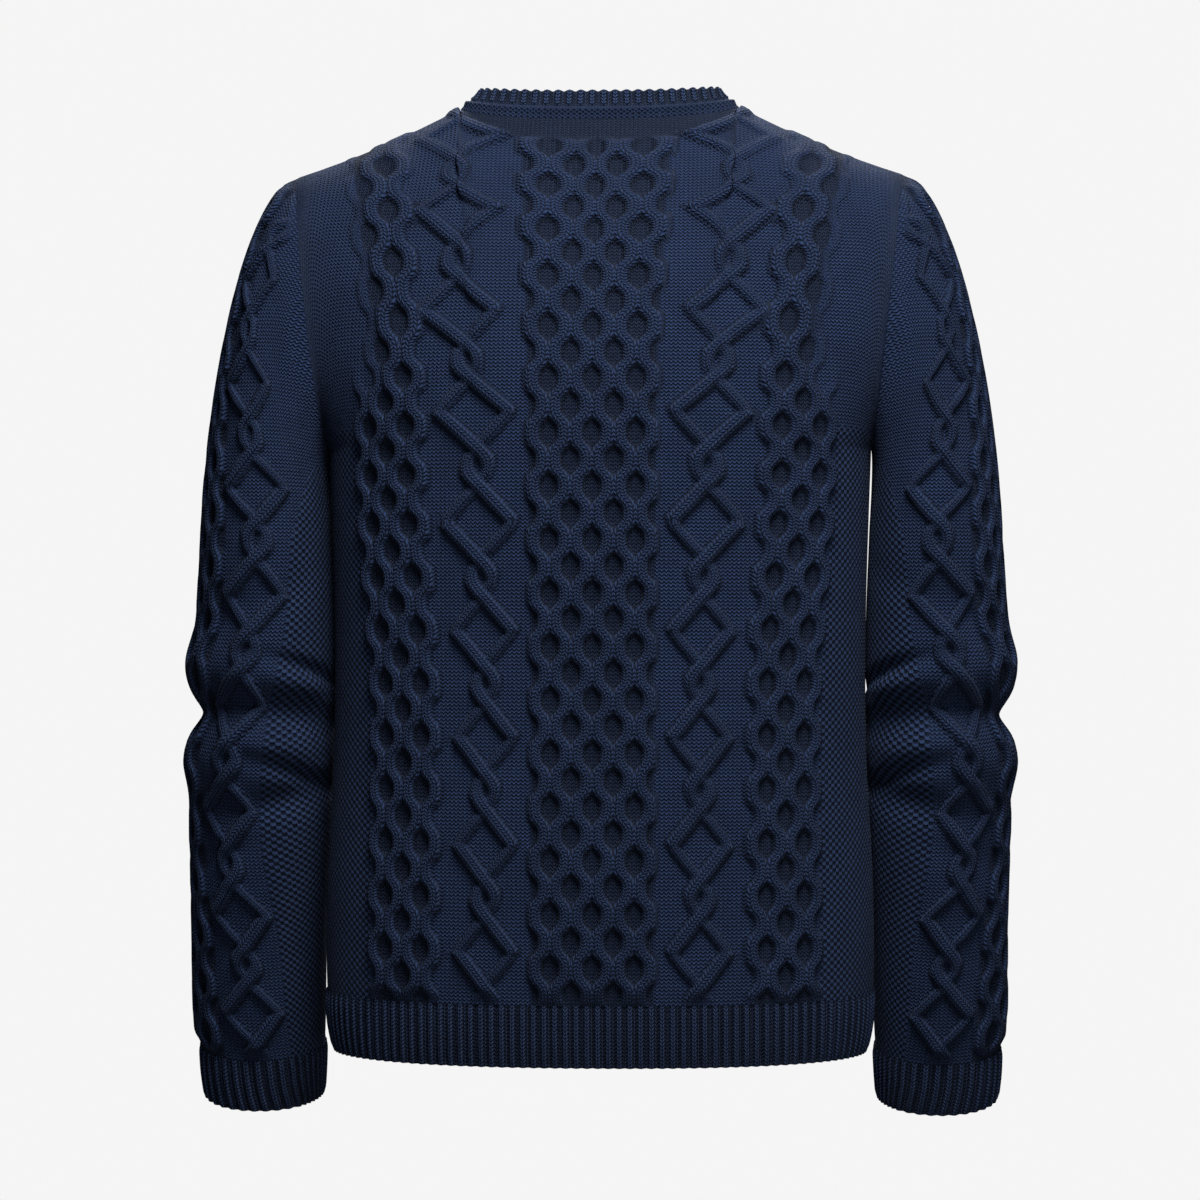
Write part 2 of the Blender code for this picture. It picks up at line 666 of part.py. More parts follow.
def sleeve_pattern(row):
    step = CUFF_ROW - row
    middle = honeycomb(0.0, -3, 3, step)
    rows = diamond(SLEEVE_DIAMOND_AT, step)
    rows.append((0.118, 0.0))
    made = [(-k, h) for k, h in reversed(rows)] + middle + rows + [(SLEEVE_HALF, 0.0)]
    return np.array(made)


def sleeve_tube(name, rows, pattern, inner_rows, ends, mirror, finish_material):
    # ends: how far the first and the last row are moved along the cuff's axis
    inner_columns = np.linspace(-SLEEVE_HALF, SLEEVE_HALF, SLEEVE_INNER_COUNT + 1)[1:]
    outer, inner = [], []
    for row in rows:
        columns, heights = pattern(row)
        outer.append(sleeve_points(row, columns) + sleeve_normals(row, columns) * heights[:, None])
    for row in inner_rows:
        inner.append(sleeve_points(row, inner_columns) - sleeve_normals(row, inner_columns) * WALL)
    for lines in (outer, inner):
        lines[0] += ends[0] * cuff_axis()
        lines[-1] += ends[1] * cuff_axis()
        for line in lines:
            drift = SLEEVE_DRIFT * smooth_step(-DRIFT_FROM, -DRIFT_TO, -line[:, 2])
            line[:, 0] = mirror * line[:, 0] + drift
    outer_at, inner_at = (np.append(at, at[0] + 2 * SLEEVE_HALF) for at in (columns, inner_columns))
    return tube_wall(name, outer, inner, outer_at, inner_at, finish_material)


def sleeve(name, mirror, finish_material):

    def faded(row):
        made = sleeve_pattern(row)
        fade = float(smooth_step(0.0, 1.0, row)) * float(1 - smooth_step(CUFF_ROW - 1.0, CUFF_ROW, row))
        return made[:, 0], made[:, 1] * fade

    rows = np.arange(0, CUFF_ROW + 1).astype(float)
    return sleeve_tube(name, rows, faded, SLEEVE_INNER_ROWS, (0.0, -SEAM_GAP / 2), mirror, finish_material)


def cuff(name, mirror, finish_material):
    columns = np.linspace(-SLEEVE_HALF, SLEEVE_HALF, 2 * CUFF_RIBS + 1)[1:]
    rows = (float(CUFF_ROW), SLEEVE_SECTIONS[-1, 0])
    heights = rib_heights(2 * CUFF_RIBS, RIB_HEIGHT)
    return sleeve_tube(name, rows, lambda row: (columns, heights), rows, (SEAM_GAP / 2, 0.0), mirror,
                       finish_material)


# Neckband

def neck_loop(share):
    # the neck seam from the left front edge round the back to the right front edge
    front, back = top_line(-1)[0], top_line(1)[0]
    front_edge = float(np.interp(BAND_HALF, front[:, 0], np.linspace(0.0, 1.0, len(front))))
    keep = np.linspace(0.0, 1.0, len(front)) >= front_edge
    first = np.array([BAND_HALF, np.interp(BAND_HALF, front[:, 0], front[:, 1]),
                      np.interp(BAND_HALF, front[:, 0], front[:, 2])])
    left_front = np.concatenate([first[None], front[keep]])
    half = np.concatenate([left_front, back[-2::-1]])
    whole = np.concatenate([half, (half * np.array([-1.0, 1.0, 1.0]))[-2::-1]])
    length = along(whole, 0.0)[1]
    return along(whole, np.asarray(share) * length)[0], length


def neck_directions(points):
    flat = neck_out(points)
    side_share = flat[:, 0] ** 2
    lean = np.where(flat[:, 1] > 0, NECK_LEAN["back"], NECK_LEAN["front"]) * (1 - side_share)
    lean = lean + NECK_LEAN["side"] * side_share
    rise = np.stack([-flat[:, 0] * lean, -flat[:, 1] * lean, np.ones(len(points))], -1)
    return unit(rise)


def neck_frame(share):
    share = np.asarray(share)
    points, length = neck_loop(share)
    ahead = neck_loop(np.minimum(share + 0.002, 1.0))[0] - neck_loop(np.maximum(share - 0.002, 0.0))[0]
    tangent = unit(ahead)
    seam_out = neck_seam_normal(points, tangent)
    rise = neck_directions(points)
    out = unit(np.cross(tangent, rise))
    out *= np.sign(np.einsum("ij,ij->i", out, seam_out))[:, None]
    seam_rise = np.cross(tangent, seam_out)
    seam_rise *= np.sign(np.einsum("ij,ij->i", seam_rise, rise))[:, None]
    from_end = np.minimum(share, 1 - share) * length
    lift = np.where(share < 0.5, LAP_LIFT, -LAP_LIFT) * (1 - smooth_step(0.0, LAP_RAMP, from_end))
    return points, rise, out, seam_rise, seam_out, lift[:, None]


def neckband(finish_material):
    share, plain_share = shares(2 * NECK_RIBS + 1), shares(41)
    points, rise, out, seam_rise, seam_out, lift = neck_frame(share)
    ribs = rib_heights(len(share), RIB_HEIGHT)[:, None]
    outer = [points + seam_rise * SEAM_GAP + seam_out * lift,
             points + rise * 0.0028 + out * (lift + NECK_RIDGE),
             points + rise * 0.0058 + out * (lift + ribs),
             points + rise * NECKBAND_WIDTH + out * (lift + ribs)]
    points, rise, out, seam_rise, seam_out, lift = neck_frame(plain_share)
    inner = [points + seam_rise * SEAM_GAP + seam_out * (lift - WALL),
             points + rise * 0.0058 + out * (lift - NECK_WALL),
             points + rise * NECKBAND_WIDTH + out * (lift - NECK_WALL)]
    for line in outer + inner:
        line[0, 0] = BAND_HALF + SEAM_GAP / 2
        line[-1, 0] = -BAND_HALF - SEAM_GAP / 2
    return sheet_wall("neckband", (outer, [share] * 4, [0.0, 0.12, 0.25, 1.0]),
                      (inner, [plain_share] * 3, [0.0, 0.25, 1.0]), finish_material)


# Button bands and buttons

def band_frame(at):
    # places up the middle line of the front, in metres from the hem, and their outward directions
    rows = np.append(np.arange(HEM_ROW, TOP_ROW, 0.25), TOP_ROW)
    middle = np.array([body_points(-1, row, np.array([BAND_HALF]))[0] for row in rows])
    middle[:, 0] = 0.0
    rise = neck_directions(middle[-1:])[0]
    path = np.concatenate([middle, (middle[-1] + rise * NECKBAND_WIDTH)[None]])
    total = along(path, 0.0)[1]
    step = 0.006
    ahead = along(path, np.minimum(at + step, total))[0] - along(path, np.maximum(at - step, 0.0))[0]
    out = unit(np.stack([np.zeros(len(ahead)), -ahead[:, 2], ahead[:, 1]], -1))
    return along(path, at)[0], out, total


def band(name, lift, crest, valley, finish_material):
    total = band_frame(np.zeros(1))[2]
    at = shares(BAND_ROWS) * total
    points, out, _ = band_frame(at)
    inset = BAND_HALF - SEAM_GAP / 2
    faces = []
    for steps in (2 * BAND_RIBS + 1, 2):
        across = np.linspace(-inset, inset, steps)
        heights = np.where(np.arange(steps) % 2 == 0, valley, crest)
        if steps == 2:
            heights = np.full(2, valley - WALL)
        grid_points = points[:, None] + out[:, None] * (lift + heights)[None, :, None]
        grid_points[..., 0] = across[None]
        faces.append((list(grid_points), [shares(steps)] * BAND_ROWS, shares(BAND_ROWS)))
    return sheet_wall(name, faces[0], faces[1], finish_material)


def button(index, finish_material):
    total = band_frame(np.zeros(1))[2]
    at = BUTTON_MARGIN + index * (total - BUTTON_MARGIN - 0.012) / (BUTTON_COUNT - 1)
    point, out, _ = band_frame(np.array([at]))
    outline = [(0.0, 0.0), (0.86, 0.0), (1.0, 0.5), (0.86, 1.0), (0.62, 0.7), (0.0, 0.65)]
    turns = 2 * math.pi * np.arange(BUTTON_SIDES) / BUTTON_SIDES
    mesh = bmesh.new()
    rings = []
    for radius, height in outline:
        reach = radius * BUTTON_RADIUS
        places = turns if radius > 0 else turns[:1]
        rings.append([mesh.verts.new((reach * math.cos(a), reach * math.sin(a), height * BUTTON_THICK))
                      for a in places])
    for low, high in zip(rings, rings[1:]):
        for i in range(BUTTON_SIDES):
            j = (i + 1) % BUTTON_SIDES
            if len(low) == 1:
                mesh.faces.new((low[0], high[j], high[i]))
            elif len(high) == 1:
                mesh.faces.new((low[i], low[j], high[0]))
            else:
                mesh.faces.new((low[i], low[j], high[j], high[i]))
    made = finish(mesh, "button_%d" % (index + 1), finish_material)
    made.location = point[0] + out[0] * (LAP_LIFT + RIB_HEIGHT + SEAM_GAP + 0.0004)
    made.rotation_euler = (math.atan2(-out[0][1], out[0][2]), 0.0, 0.0)
    return made


def main():
    clear_scene()
    knit = material("cable_knit_wool", NAVY, 0.92)
    rib = material("rib_knit_wool", NAVY, 0.92)
    horn = material("button_resin", BUTTON_NAVY, 0.35)
    panel("back_panel", 1, back_pattern, 0.0, 1.0, knit)
    panel("front_left_panel", -1, front_pattern, LAP_LIFT, 1.0, knit)
    panel("front_right_panel", -1, front_pattern, -LAP_LIFT, -1.0, knit)
    hem_rib("back_hem_rib", 1, -EDGE, EDGE, 0.0, rib)
    hem_rib("front_left_hem_rib", -1, BAND_HALF, EDGE, LAP_LIFT, rib)
    hem_rib("front_right_hem_rib", -1, -BAND_HALF, -EDGE, -LAP_LIFT, rib)
    for name, mirror in (("left", 1.0), ("right", -1.0)):
        sleeve("sleeve_" + name, mirror, knit)
        cuff("cuff_" + name, mirror, rib)
    neckband(rib)
    band("button_band_left", LAP_LIFT, RIB_HEIGHT, 0.0, rib)
    band("button_band_right", -LAP_LIFT, 0.0, -RIB_HEIGHT, rib)
    for index in range(BUTTON_COUNT):
        button(index, horn)


main()
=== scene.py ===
import math

import bmesh
import bpy
import numpy as np
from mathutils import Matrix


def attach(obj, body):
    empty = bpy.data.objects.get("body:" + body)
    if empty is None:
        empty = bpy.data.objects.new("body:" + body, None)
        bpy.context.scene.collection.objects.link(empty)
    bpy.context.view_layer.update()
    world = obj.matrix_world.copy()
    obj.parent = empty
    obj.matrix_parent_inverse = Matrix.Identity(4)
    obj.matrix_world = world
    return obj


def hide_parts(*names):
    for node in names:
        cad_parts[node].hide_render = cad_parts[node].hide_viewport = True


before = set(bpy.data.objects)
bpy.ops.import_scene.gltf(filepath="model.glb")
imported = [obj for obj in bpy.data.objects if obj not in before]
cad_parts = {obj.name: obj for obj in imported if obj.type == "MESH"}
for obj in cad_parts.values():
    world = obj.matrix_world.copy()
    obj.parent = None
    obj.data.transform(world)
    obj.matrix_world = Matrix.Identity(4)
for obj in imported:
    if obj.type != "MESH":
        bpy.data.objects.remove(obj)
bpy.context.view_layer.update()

print("frame loaded: %d solids" % len(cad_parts))

# The garment stands as worn: it faces -Y, its left sleeve is at +X, and its neck is at the origin.

camera = {
    "azimuth": 182.6,  # seen from behind, as in the photo
    "distance": 2.5,
    "height": -0.3437,
    "lens": 107.14,
}

studio = {
    "paper": 0.913,
    "floorHeight": -0.775,
    "floorHalf": 40.0,
    "worldStrength": 0.035,
    "paperBounce": 0.12,
    "topLight": {"at": (-0.22, 1.00, 0.95), "aim": (0.0, 0.05, -0.25), "size": 0.8, "power": 44.0},
    "frontLight": {"at": (0.05, -1.0, 1.0), "aim": (0.0, 0.0, -0.2), "size": 0.8, "power": 36.0},
    "leftLight": {"at": (1.7, 1.1, 0.1), "aim": (0.0, 0.0, -0.35), "size": 0.8, "power": 0.8},
    "rightLight": {"at": (-1.7, 1.1, 0.1), "aim": (0.0, 0.0, -0.35), "size": 0.8, "power": 2.6},
    "lowLight": {"at": (-0.3, 1.7, -0.8), "aim": (0.0, 0.0, -0.6), "size": 0.8, "power": 11.0},
}


def aimAt(item, place, target):
    back = np.array(place, float) - np.array(target, float)
    back /= np.linalg.norm(back)
    flat = math.hypot(back[0], back[1])
    item.location = place
    item.rotation_euler = (math.atan2(flat, back[2]), 0.0, math.atan2(back[0], -back[1]))


def makeCamera():
    lens = bpy.data.cameras.new("camera")
    lens.lens = camera["lens"]
    lens.clip_end = 200.0
    item = bpy.data.objects.new("camera", lens)
    bpy.context.scene.collection.objects.link(item)
    turn = math.radians(camera["azimuth"])
    place = (camera["distance"] * math.sin(turn), -camera["distance"] * math.cos(turn), camera["height"])
    aimAt(item, place, (0.0, 0.0, camera["height"]))
    bpy.context.scene.camera = item


def makeLight(name, values):
    lamp = bpy.data.lights.new(name, "AREA")
    lamp.shape = "DISK"
    lamp.size = values["size"]
    lamp.energy = values["power"]
    item = bpy.data.objects.new(name, lamp)
    bpy.context.scene.collection.objects.link(item)
    aimAt(item, values["at"], values["aim"])


def showToCamera(tree, lit, seen, output):
    # the camera sees one shader, and everything else is lit by the other
    path = tree.nodes.new("ShaderNodeLightPath")
    mix = tree.nodes.new("ShaderNodeMixShader")
    tree.links.new(path.outputs["Is Camera Ray"], mix.inputs["Fac"])
    tree.links.new(lit.outputs[0], mix.inputs[1])
    tree.links.new(seen.outputs[0], mix.inputs[2])
    tree.links.new(mix.outputs["Shader"], tree.nodes[output].inputs["Surface"])


def makeStudio():
    world = bpy.data.worlds.new("studio")
    bpy.context.scene.world = world
    world.use_nodes = True
    nodes = world.node_tree.nodes
    soft = nodes["Background"]
    soft.inputs["Color"].default_value = (0.95, 0.97, 1.0, 1.0)
    soft.inputs["Strength"].default_value = studio["worldStrength"]
    seen = nodes.new("ShaderNodeBackground")
    seen.inputs["Color"].default_value = (studio["paper"],) * 3 + (1.0,)
    showToCamera(world.node_tree, soft, seen, "World Output")

    paper = bpy.data.materials.new("pale_paper")
    paper.use_nodes = True
    nodes = paper.node_tree.nodes
    plain = nodes["Principled BSDF"]
    plain.inputs["Base Color"].default_value = (studio["paperBounce"],) * 3 + (1.0,)
    plain.inputs["Roughness"].default_value = 0.9
    plain.inputs["Specular IOR Level"].default_value = 0.0
    glow = nodes.new("ShaderNodeEmission")
    glow.inputs["Color"].default_value = (studio["paper"],) * 3 + (1.0,)
    showToCamera(paper.node_tree, plain, glow, "Material Output")

    half, height = studio["floorHalf"], studio["floorHeight"]
    floorMesh = bpy.data.meshes.new("floor")
    floorMesh.from_pydata([(-half, -half, height), (half, -half, height), (half, half, height),
                           (-half, half, height)], [], [(0, 1, 2, 3)])
    floorMesh.materials.append(paper)
    floor = bpy.data.objects.new("floor", floorMesh)
    bpy.context.scene.collection.objects.link(floor)
    for name in ("topLight", "frontLight", "leftLight", "rightLight", "lowLight"):
        makeLight(name, studio[name])
    bpy.context.scene.view_settings.view_transform = "Standard"


makeCamera()
makeStudio()
print("camera and studio ready")

# Shared measures of the cloth and its knitting, in metres. A row is half of one honeycomb cell.
cloth = {
    "wall": 0.003,
    "seamGap": 0.00012,
    "row": 0.0179,
    "wale": 0.0031,
    "course": 0.0025,
    "grid": 0.00182,  # vertices of the outer face stand this far apart
    "innerGrid": 0.008,
    "innerRows": 71,
    "waves": 0.0008,
}

cable = {
    "pitch": 0.014,
    "sway": 0.0034,
    "squareness": 1.3,  # how long the strands stay apart and together
    "strandHalf": 0.0044,
    "height": 0.0048,
    "crown": 0.50,  # in strand half widths: the flat top, and where the foot ends
    "foot": 1.42,
    "lead": 0.37,  # the middle honeycomb stands this many rows above the side ones
    "stretch": 1.06,  # how much longer than the cloth a waving strand is
}

diamond = {
    "strandHalf": 0.0041,
    "wide": ((-3.0, 0.0190), (13.0, 0.0190), (19.0, 0.0208), (25.0, 0.0230), (36.0, 0.0230)),
    "crossing": 0.68,  # rows from the middle of the twist to each crossing
    "twistHalf": 0.0068,
    "over": 1.16,
    "under": 0.52,
    "soft": 0.0012,  # rounds the turns inside the twist and at the corners
    "stretch": 1.25,
}

# The body, as in the part's source, but a little wider at the waist to close the slits beside the sleeves
body = {
    "centreHalf": 0.0405,
    "diamondAt": 0.072,
    "sideCableAt": 0.132,
    "mossFrom": 0.160,
    "edge": 0.244,
    "bandHalf": 0.016,
    "lapLift": 0.00175,
    "lapRamp": 0.030,
    "hemBottom": -0.657,
    "hemSeam": -0.615,
    "armpitRow": 21,
    "topRow": 35,
    "frontClosing": 0.80,
    "sectionPower": 2.3,
    "chestSpreadFrom": -0.42,
    "neckHalf": 0.098,
    "neckBack": (0.038, -0.012),
    "neckFront": (-0.082, -0.088),
    "neckPower": 2.5,
    "neckCurve": 1.6,
    "shoulderSag": 0.0030,
    "armholeDepth": {1: 0.088, -1: 0.082},
    "upperPulls": {1: (0.085, 0.080, 0.67), -1: (0.062, 0.045, 0.31)},
    "shoulderPull": 0.078,
}
edge, bandHalf, lapLift = body["edge"], body["bandHalf"], body["lapLift"]
armpit = body["hemSeam"] + body["armpitRow"] * cloth["row"]
hemRow = (body["hemBottom"] - body["hemSeam"]) / cloth["row"]
shoulder = np.array([0.2100, 0.0, -0.0470])
armpitAt = np.array([0.1895, 0.0, armpit])

# height, half width, depth of the back, depth of the front
bodySections = np.array([
    (-0.657, 0.1850, 0.1120, 0.1060),
    (-0.640, 0.1885, 0.1150, 0.1090),
    (-0.615, 0.1905, 0.1165, 0.1105),
    (-0.560, 0.1910, 0.1175, 0.1115),
    (-0.440, 0.1856, 0.1150, 0.1100),
    (-0.360, 0.1855, 0.1150, 0.1110),
    (-0.280, 0.1878, 0.1180, 0.1130),
    (armpit, 0.1893, 0.1190, 0.1140),
])

# flat column, arc from the middle at the hips, arc at the chest
columnArcs = np.array([
    (0.0, 0.0, 0.0),
    (0.0405, 0.0405, 0.0420),
    (0.072, 0.0720, 0.0770),
    (0.132, 0.1320, 0.1450),
    (0.160, 0.1600, 0.1740),
])

# flat column, share of the half neckline, share of the shoulder, for the back and the front
topColumns = {
    1: np.array([(0.0, 0.0, 0.0), (0.016, 0.15, 0.0), (0.0405, 0.43, 0.0), (0.072, 0.965, 0.0),
                 (0.132, 1.0, 0.62), (0.160, 1.0, 0.80), (0.244, 1.0, 1.0)]),
    -1: np.array([(0.0, 0.0, 0.0), (0.016, 0.10, 0.0), (0.0405, 0.26, 0.0), (0.072, 0.60, 0.0),
                  (0.132, 1.0, 0.58), (0.160, 1.0, 0.80), (0.244, 1.0, 1.0)]),
}


def smoothStep(low, high, value):
    share = np.clip((value - low) / (high - low), 0.0, 1.0)
    return share * share * (3.0 - 2.0 * share)


def smoothTable(value, places, heights):
    slopes = np.gradient(heights, places)  # a cubic through the table's rows
    value = np.clip(np.asarray(value, float), places[0], places[-1])
    at = np.clip(np.searchsorted(places, value, side="right") - 1, 0, len(places) - 2)
    span = places[at + 1] - places[at]
    t = (value - places[at]) / span
    return ((2 * t**3 - 3 * t**2 + 1) * heights[at] + (t**3 - 2 * t**2 + t) * span * slopes[at]
            + (3 * t**2 - 2 * t**3) * heights[at + 1] + (t**3 - t**2) * span * slopes[at + 1])


def bezier(start, leave, arrive, end, t):
    t = np.asarray(t, float)[..., None]
    return ((1 - t) ** 3 * start + 3 * (1 - t) ** 2 * t * leave
            + 3 * (1 - t) * t**2 * arrive + t**3 * end)


def unit(vectors):
    return vectors / np.maximum(np.linalg.norm(vectors, axis=-1, keepdims=True), 1e-12)


def lengthsOf(points):
    return np.concatenate([[0.0], np.cumsum(np.linalg.norm(np.diff(points, axis=0), axis=1))])


def alongLine(points, arc):
    lengths = lengthsOf(points)
    return np.stack([np.interp(arc, lengths, points[:, i]) for i in range(points.shape[1])], -1), lengths[-1]


def dot(first, second):
    return np.einsum("ij,ij->i", first, second)


def quarterSection(height, side):
    halfWidth = smoothTable(height, bodySections[:, 0], bodySections[:, 1])
    depth = smoothTable(height, bodySections[:, 0], bodySections[:, 2 if side > 0 else 3])
    turn = np.linspace(0.0, math.pi / 2, 160)
    power = 2 / body["sectionPower"]
    x = halfWidth * np.sin(turn) ** power
    y = side * depth * np.maximum(np.cos(turn), 0.0) ** power
    return np.stack([x, y], -1)


def sectionPoints(height, side, columns):
    outline = quarterSection(height, side)
    total = alongLine(outline, 0.0)[1]
    spread = smoothStep(body["chestSpreadFrom"], armpit, height)
    arcs = columnArcs[:, 1] * (1 - spread) + columnArcs[:, 2] * spread
    arc = np.interp(np.abs(columns), np.append(columnArcs[:, 0], edge), np.append(arcs, total))
    flat = alongLine(outline, arc)[0]
    return np.stack([np.sign(columns) * flat[:, 0], flat[:, 1], np.full(len(columns), height)], -1)


def topLine(side):
    depth, drop = body["neckBack"] if side > 0 else body["neckFront"]
    turn = np.linspace(0.0, math.pi / 2, 80)
    across = body["neckHalf"] * np.sin(turn) ** (2 / body["neckPower"])
    share = np.maximum(np.cos(turn), 0.0) ** (2 / body["neckPower"])
    neck = np.stack([across, depth * share, drop * share ** body["neckCurve"]], -1)
    return neck, alongLine(neck, 0.0)[1]


def topPoints(side, columns):
    neck, neckLength = topLine(side)
    t = np.linspace(0.0, 1.0, 9)[1:, None]
    sag = np.array([0.0, 0.0, 4 * body["shoulderSag"]])
    whole = np.concatenate([neck, neck[-1] + (shoulder - neck[-1]) * t - sag * t * (1 - t)])
    shoulderLength = alongLine(whole, 0.0)[1] - neckLength
    table = topColumns[side]
    arcs = table[:, 1] * neckLength + table[:, 2] * shoulderLength
    arcs[1] = np.interp(bandHalf, neck[:, 0], lengthsOf(neck))
    arc = np.interp(np.abs(columns), table[:, 0], arcs)
    found = alongLine(whole, arc)[0]
    found[:, 0] *= np.sign(columns)
    return found, arc / neckLength


def armholeEdge(side, share):
    reach = np.array([0.0, side * body["armholeDepth"][side], 0.0])
    return bezier(armpitAt, armpitAt + reach, shoulder + reach, shoulder, share)


def upperPoints(side, row, columns):
    columns = np.where(np.abs(columns) < 1e-9, 1e-9, columns)
    t = np.full(len(columns), (row - body["armpitRow"]) / (body["topRow"] - body["armpitRow"]))
    start = sectionPoints(armpit, side, columns)
    end = topPoints(side, columns)[0]
    rise, neckPull, neckLean = body["upperPulls"][side]
    over = 1 - end[:, 1] / (body["neckBack"] if side > 0 else body["neckFront"])[0]
    lean = neckLean + (math.pi / 2 - neckLean) * over
    arrival = np.stack([np.zeros(len(columns)), -side * np.sin(lean), np.cos(lean)], -1)
    pull = (neckPull + (body["shoulderPull"] - neckPull) * over)[:, None]
    upward = np.array([0.0, side * 0.003, rise])
    found = bezier(start, start + upward, end - arrival * pull, end, t)
    edgeStart = sectionPoints(armpit, side, np.array([edge]))
    edgeEnd = shoulder[None]
    backPull = np.array([0.0, side * body["shoulderPull"], 0.0])
    freeEdge = bezier(edgeStart, edgeStart + upward, edgeEnd + backPull, edgeEnd, t[:1])
    weight = np.clip(np.abs(columns) / edge, 0, 1)[:, None] ** 4
    shift = weight * (armholeEdge(side, t[:1]) - freeEdge)
    shift[:, 0] *= np.sign(columns)
    return found + shift


def bodyPoints(side, row, columns):
    columns = np.asarray(columns, float)
    if row <= body["armpitRow"]:
        safe = np.where(np.abs(columns) < 1e-9, 1e-9, columns)
        return sectionPoints(body["hemSeam"] + row * cloth["row"], side, safe)
    return upperPoints(side, row, columns)


def outward(side, row, columns):
    stepK, stepR = 0.0006, 0.06
    lowK, highK = np.maximum(columns - stepK, -edge), np.minimum(columns + stepK, edge)
    lowR, highR = max(row - stepR, hemRow), min(row + stepR, body["topRow"])
    across = bodyPoints(side, row, highK) - bodyPoints(side, row, lowK)
    up = bodyPoints(side, highR, columns) - bodyPoints(side, lowR, columns)
    return -side * unit(np.cross(across, up))


armholePlane = unit(np.cross(np.array([0.0, 1.0, 0.0]), unit(shoulder - armpitAt)))

neckSeamOut = {"back": 1.7, "side": 0.41, "front": 1.9}
neckLean = {"back": 0.40, "side": 1.70, "front": 0.75}


def neckOut(points):
    depth = np.where(points[:, 1] > 0, body["neckBack"][0], body["neckFront"][0])
    return unit(np.stack([points[:, 0] / body["neckHalf"] ** 2, points[:, 1] / depth**2], -1))


def neckBlend(flat, table):
    sideShare = flat[:, 0] ** 2
    ends = np.where(flat[:, 1] > 0, table["back"], table["front"])
    return ends * (1 - sideShare) + table["side"] * sideShare


def neckSeamNormal(points, tangent):
    flat = neckOut(points)
    out = neckBlend(flat, neckSeamOut)
    found = np.stack([flat[:, 0] * out, flat[:, 1] * out, np.ones(len(points))], -1)
    found -= dot(found, tangent)[:, None] * tangent
    return unit(found)


def bodyNormals(side, row, columns):
    found = outward(side, row, columns)
    atEdge = np.abs(columns) > edge - 1e-6
    if abs(row) < 0.01:
        found[:, 2] = 0.0
    if row <= body["armpitRow"]:
        found[atEdge, 1] = 0.0
    turned = float(smoothStep(body["topRow"] - 1.6, body["topRow"], row))
    if turned > 0:
        points, neckShare = topPoints(side, columns)
        behind = topPoints(side, columns - np.where(columns < 0, -0.0006, 0.0006))[0]
        onNeck = neckShare < 1.001
        seam = neckSeamNormal(points[onNeck], unit(points - behind)[onNeck])
        found[onNeck] = unit(found[onNeck] * (1 - turned) + seam * turned)
        found[~onNeck, 1] *= 1 - turned
    if row >= body["armpitRow"] and atEdge.any():
        plane = armholePlane * np.stack([np.sign(columns[atEdge]), np.ones(atEdge.sum()),
                                         np.ones(atEdge.sum())], -1)
        found[atEdge] -= np.minimum(dot(found[atEdge], plane), 0.0)[:, None] * plane
    return unit(found)


# Cable strands. Each point keeps its distance from the nearest even strand (a) and odd strand (b),
# in strand half widths, how far along that strand it is, and how high the strand runs there.

def emptyStrands(shape):
    return {name: {"across": np.full(shape, 9.0), "along": np.zeros(shape), "level": np.zeros(shape)}
            for name in ("a", "b")}


def addStrand(strands, name, offset, slope, half, arc, level):
    lean = 1.0 / np.sqrt(1.0 + slope**2)
    across = offset * lean / half
    nearer = np.abs(across) < np.abs(strands[name]["across"])
    along = arc + offset * slope * lean
    for key, value in (("across", across), ("along", along / cloth["course"]), ("level", level)):
        strands[name][key] = np.where(nearer, value, strands[name][key])


def addHoneycomb(strands, columns, steps, middle, first, last, level):
    for index in range(first, last):
        sign = -1.0 if index % 2 else 1.0
        square = cable["squareness"]
        wave = np.tanh(square * np.cos(np.pi * steps)) / math.tanh(square)
        rate = square * np.pi * np.sin(np.pi * steps) / np.cosh(square * np.cos(np.pi * steps)) ** 2
        centre = middle + cable["pitch"] * (index + 0.5) - cable["sway"] * sign * wave
        slope = cable["sway"] * sign * rate / math.tanh(square) / cloth["row"]
        arc = steps * cloth["row"] * cable["stretch"]
        addStrand(strands, "b" if index % 2 else "a", columns - centre, slope, cable["strandHalf"], arc,
                  level[index] if isinstance(level, dict) else level)


def diamondPath(steps, rows):
    fromTwist = np.abs((steps + 2.0) % 4.0 - 2.0)
    wide = np.interp(rows, *np.array(diamond["wide"]).T)
    rate = wide / (2.0 - diamond["crossing"])
    spread = rate * (fromTwist - diamond["crossing"])
    low = -diamond["twistHalf"]
    soft = diamond["soft"]
    spread = 0.5 * (spread + low + np.sqrt((spread - low) ** 2 + soft**2 * 4))
    high = wide - soft / 2
    return 0.5 * (spread + high - np.sqrt((spread - high) ** 2 + soft**2))


def addDiamond(strands, columns, steps, rows, middle, level):
    small = 0.02
    spread = diamondPath(steps, rows)
    slope = (diamondPath(steps + small, rows) - diamondPath(steps - small, rows)) / (2 * small * cloth["row"])
    close = np.exp(-(spread / (0.9 * diamond["strandHalf"])) ** 2)
    for name, sign in (("a", 1.0), ("b", -1.0)):
        onTop = 0.5 + 0.5 * np.tanh(4.0 * sign * slope)  # which strand passes over at a crossing
        height = 1 + close * (diamond["under"] - 1 + onTop * (diamond["over"] - diamond["under"]))
        half = diamond["strandHalf"] * (0.84 + 0.30 * onTop)
        addStrand(strands, name, columns - middle - sign * spread, sign * slope, half,
                  steps * cloth["row"] * diamond["stretch"], height * level * (0.86 + 0.16 * onTop))


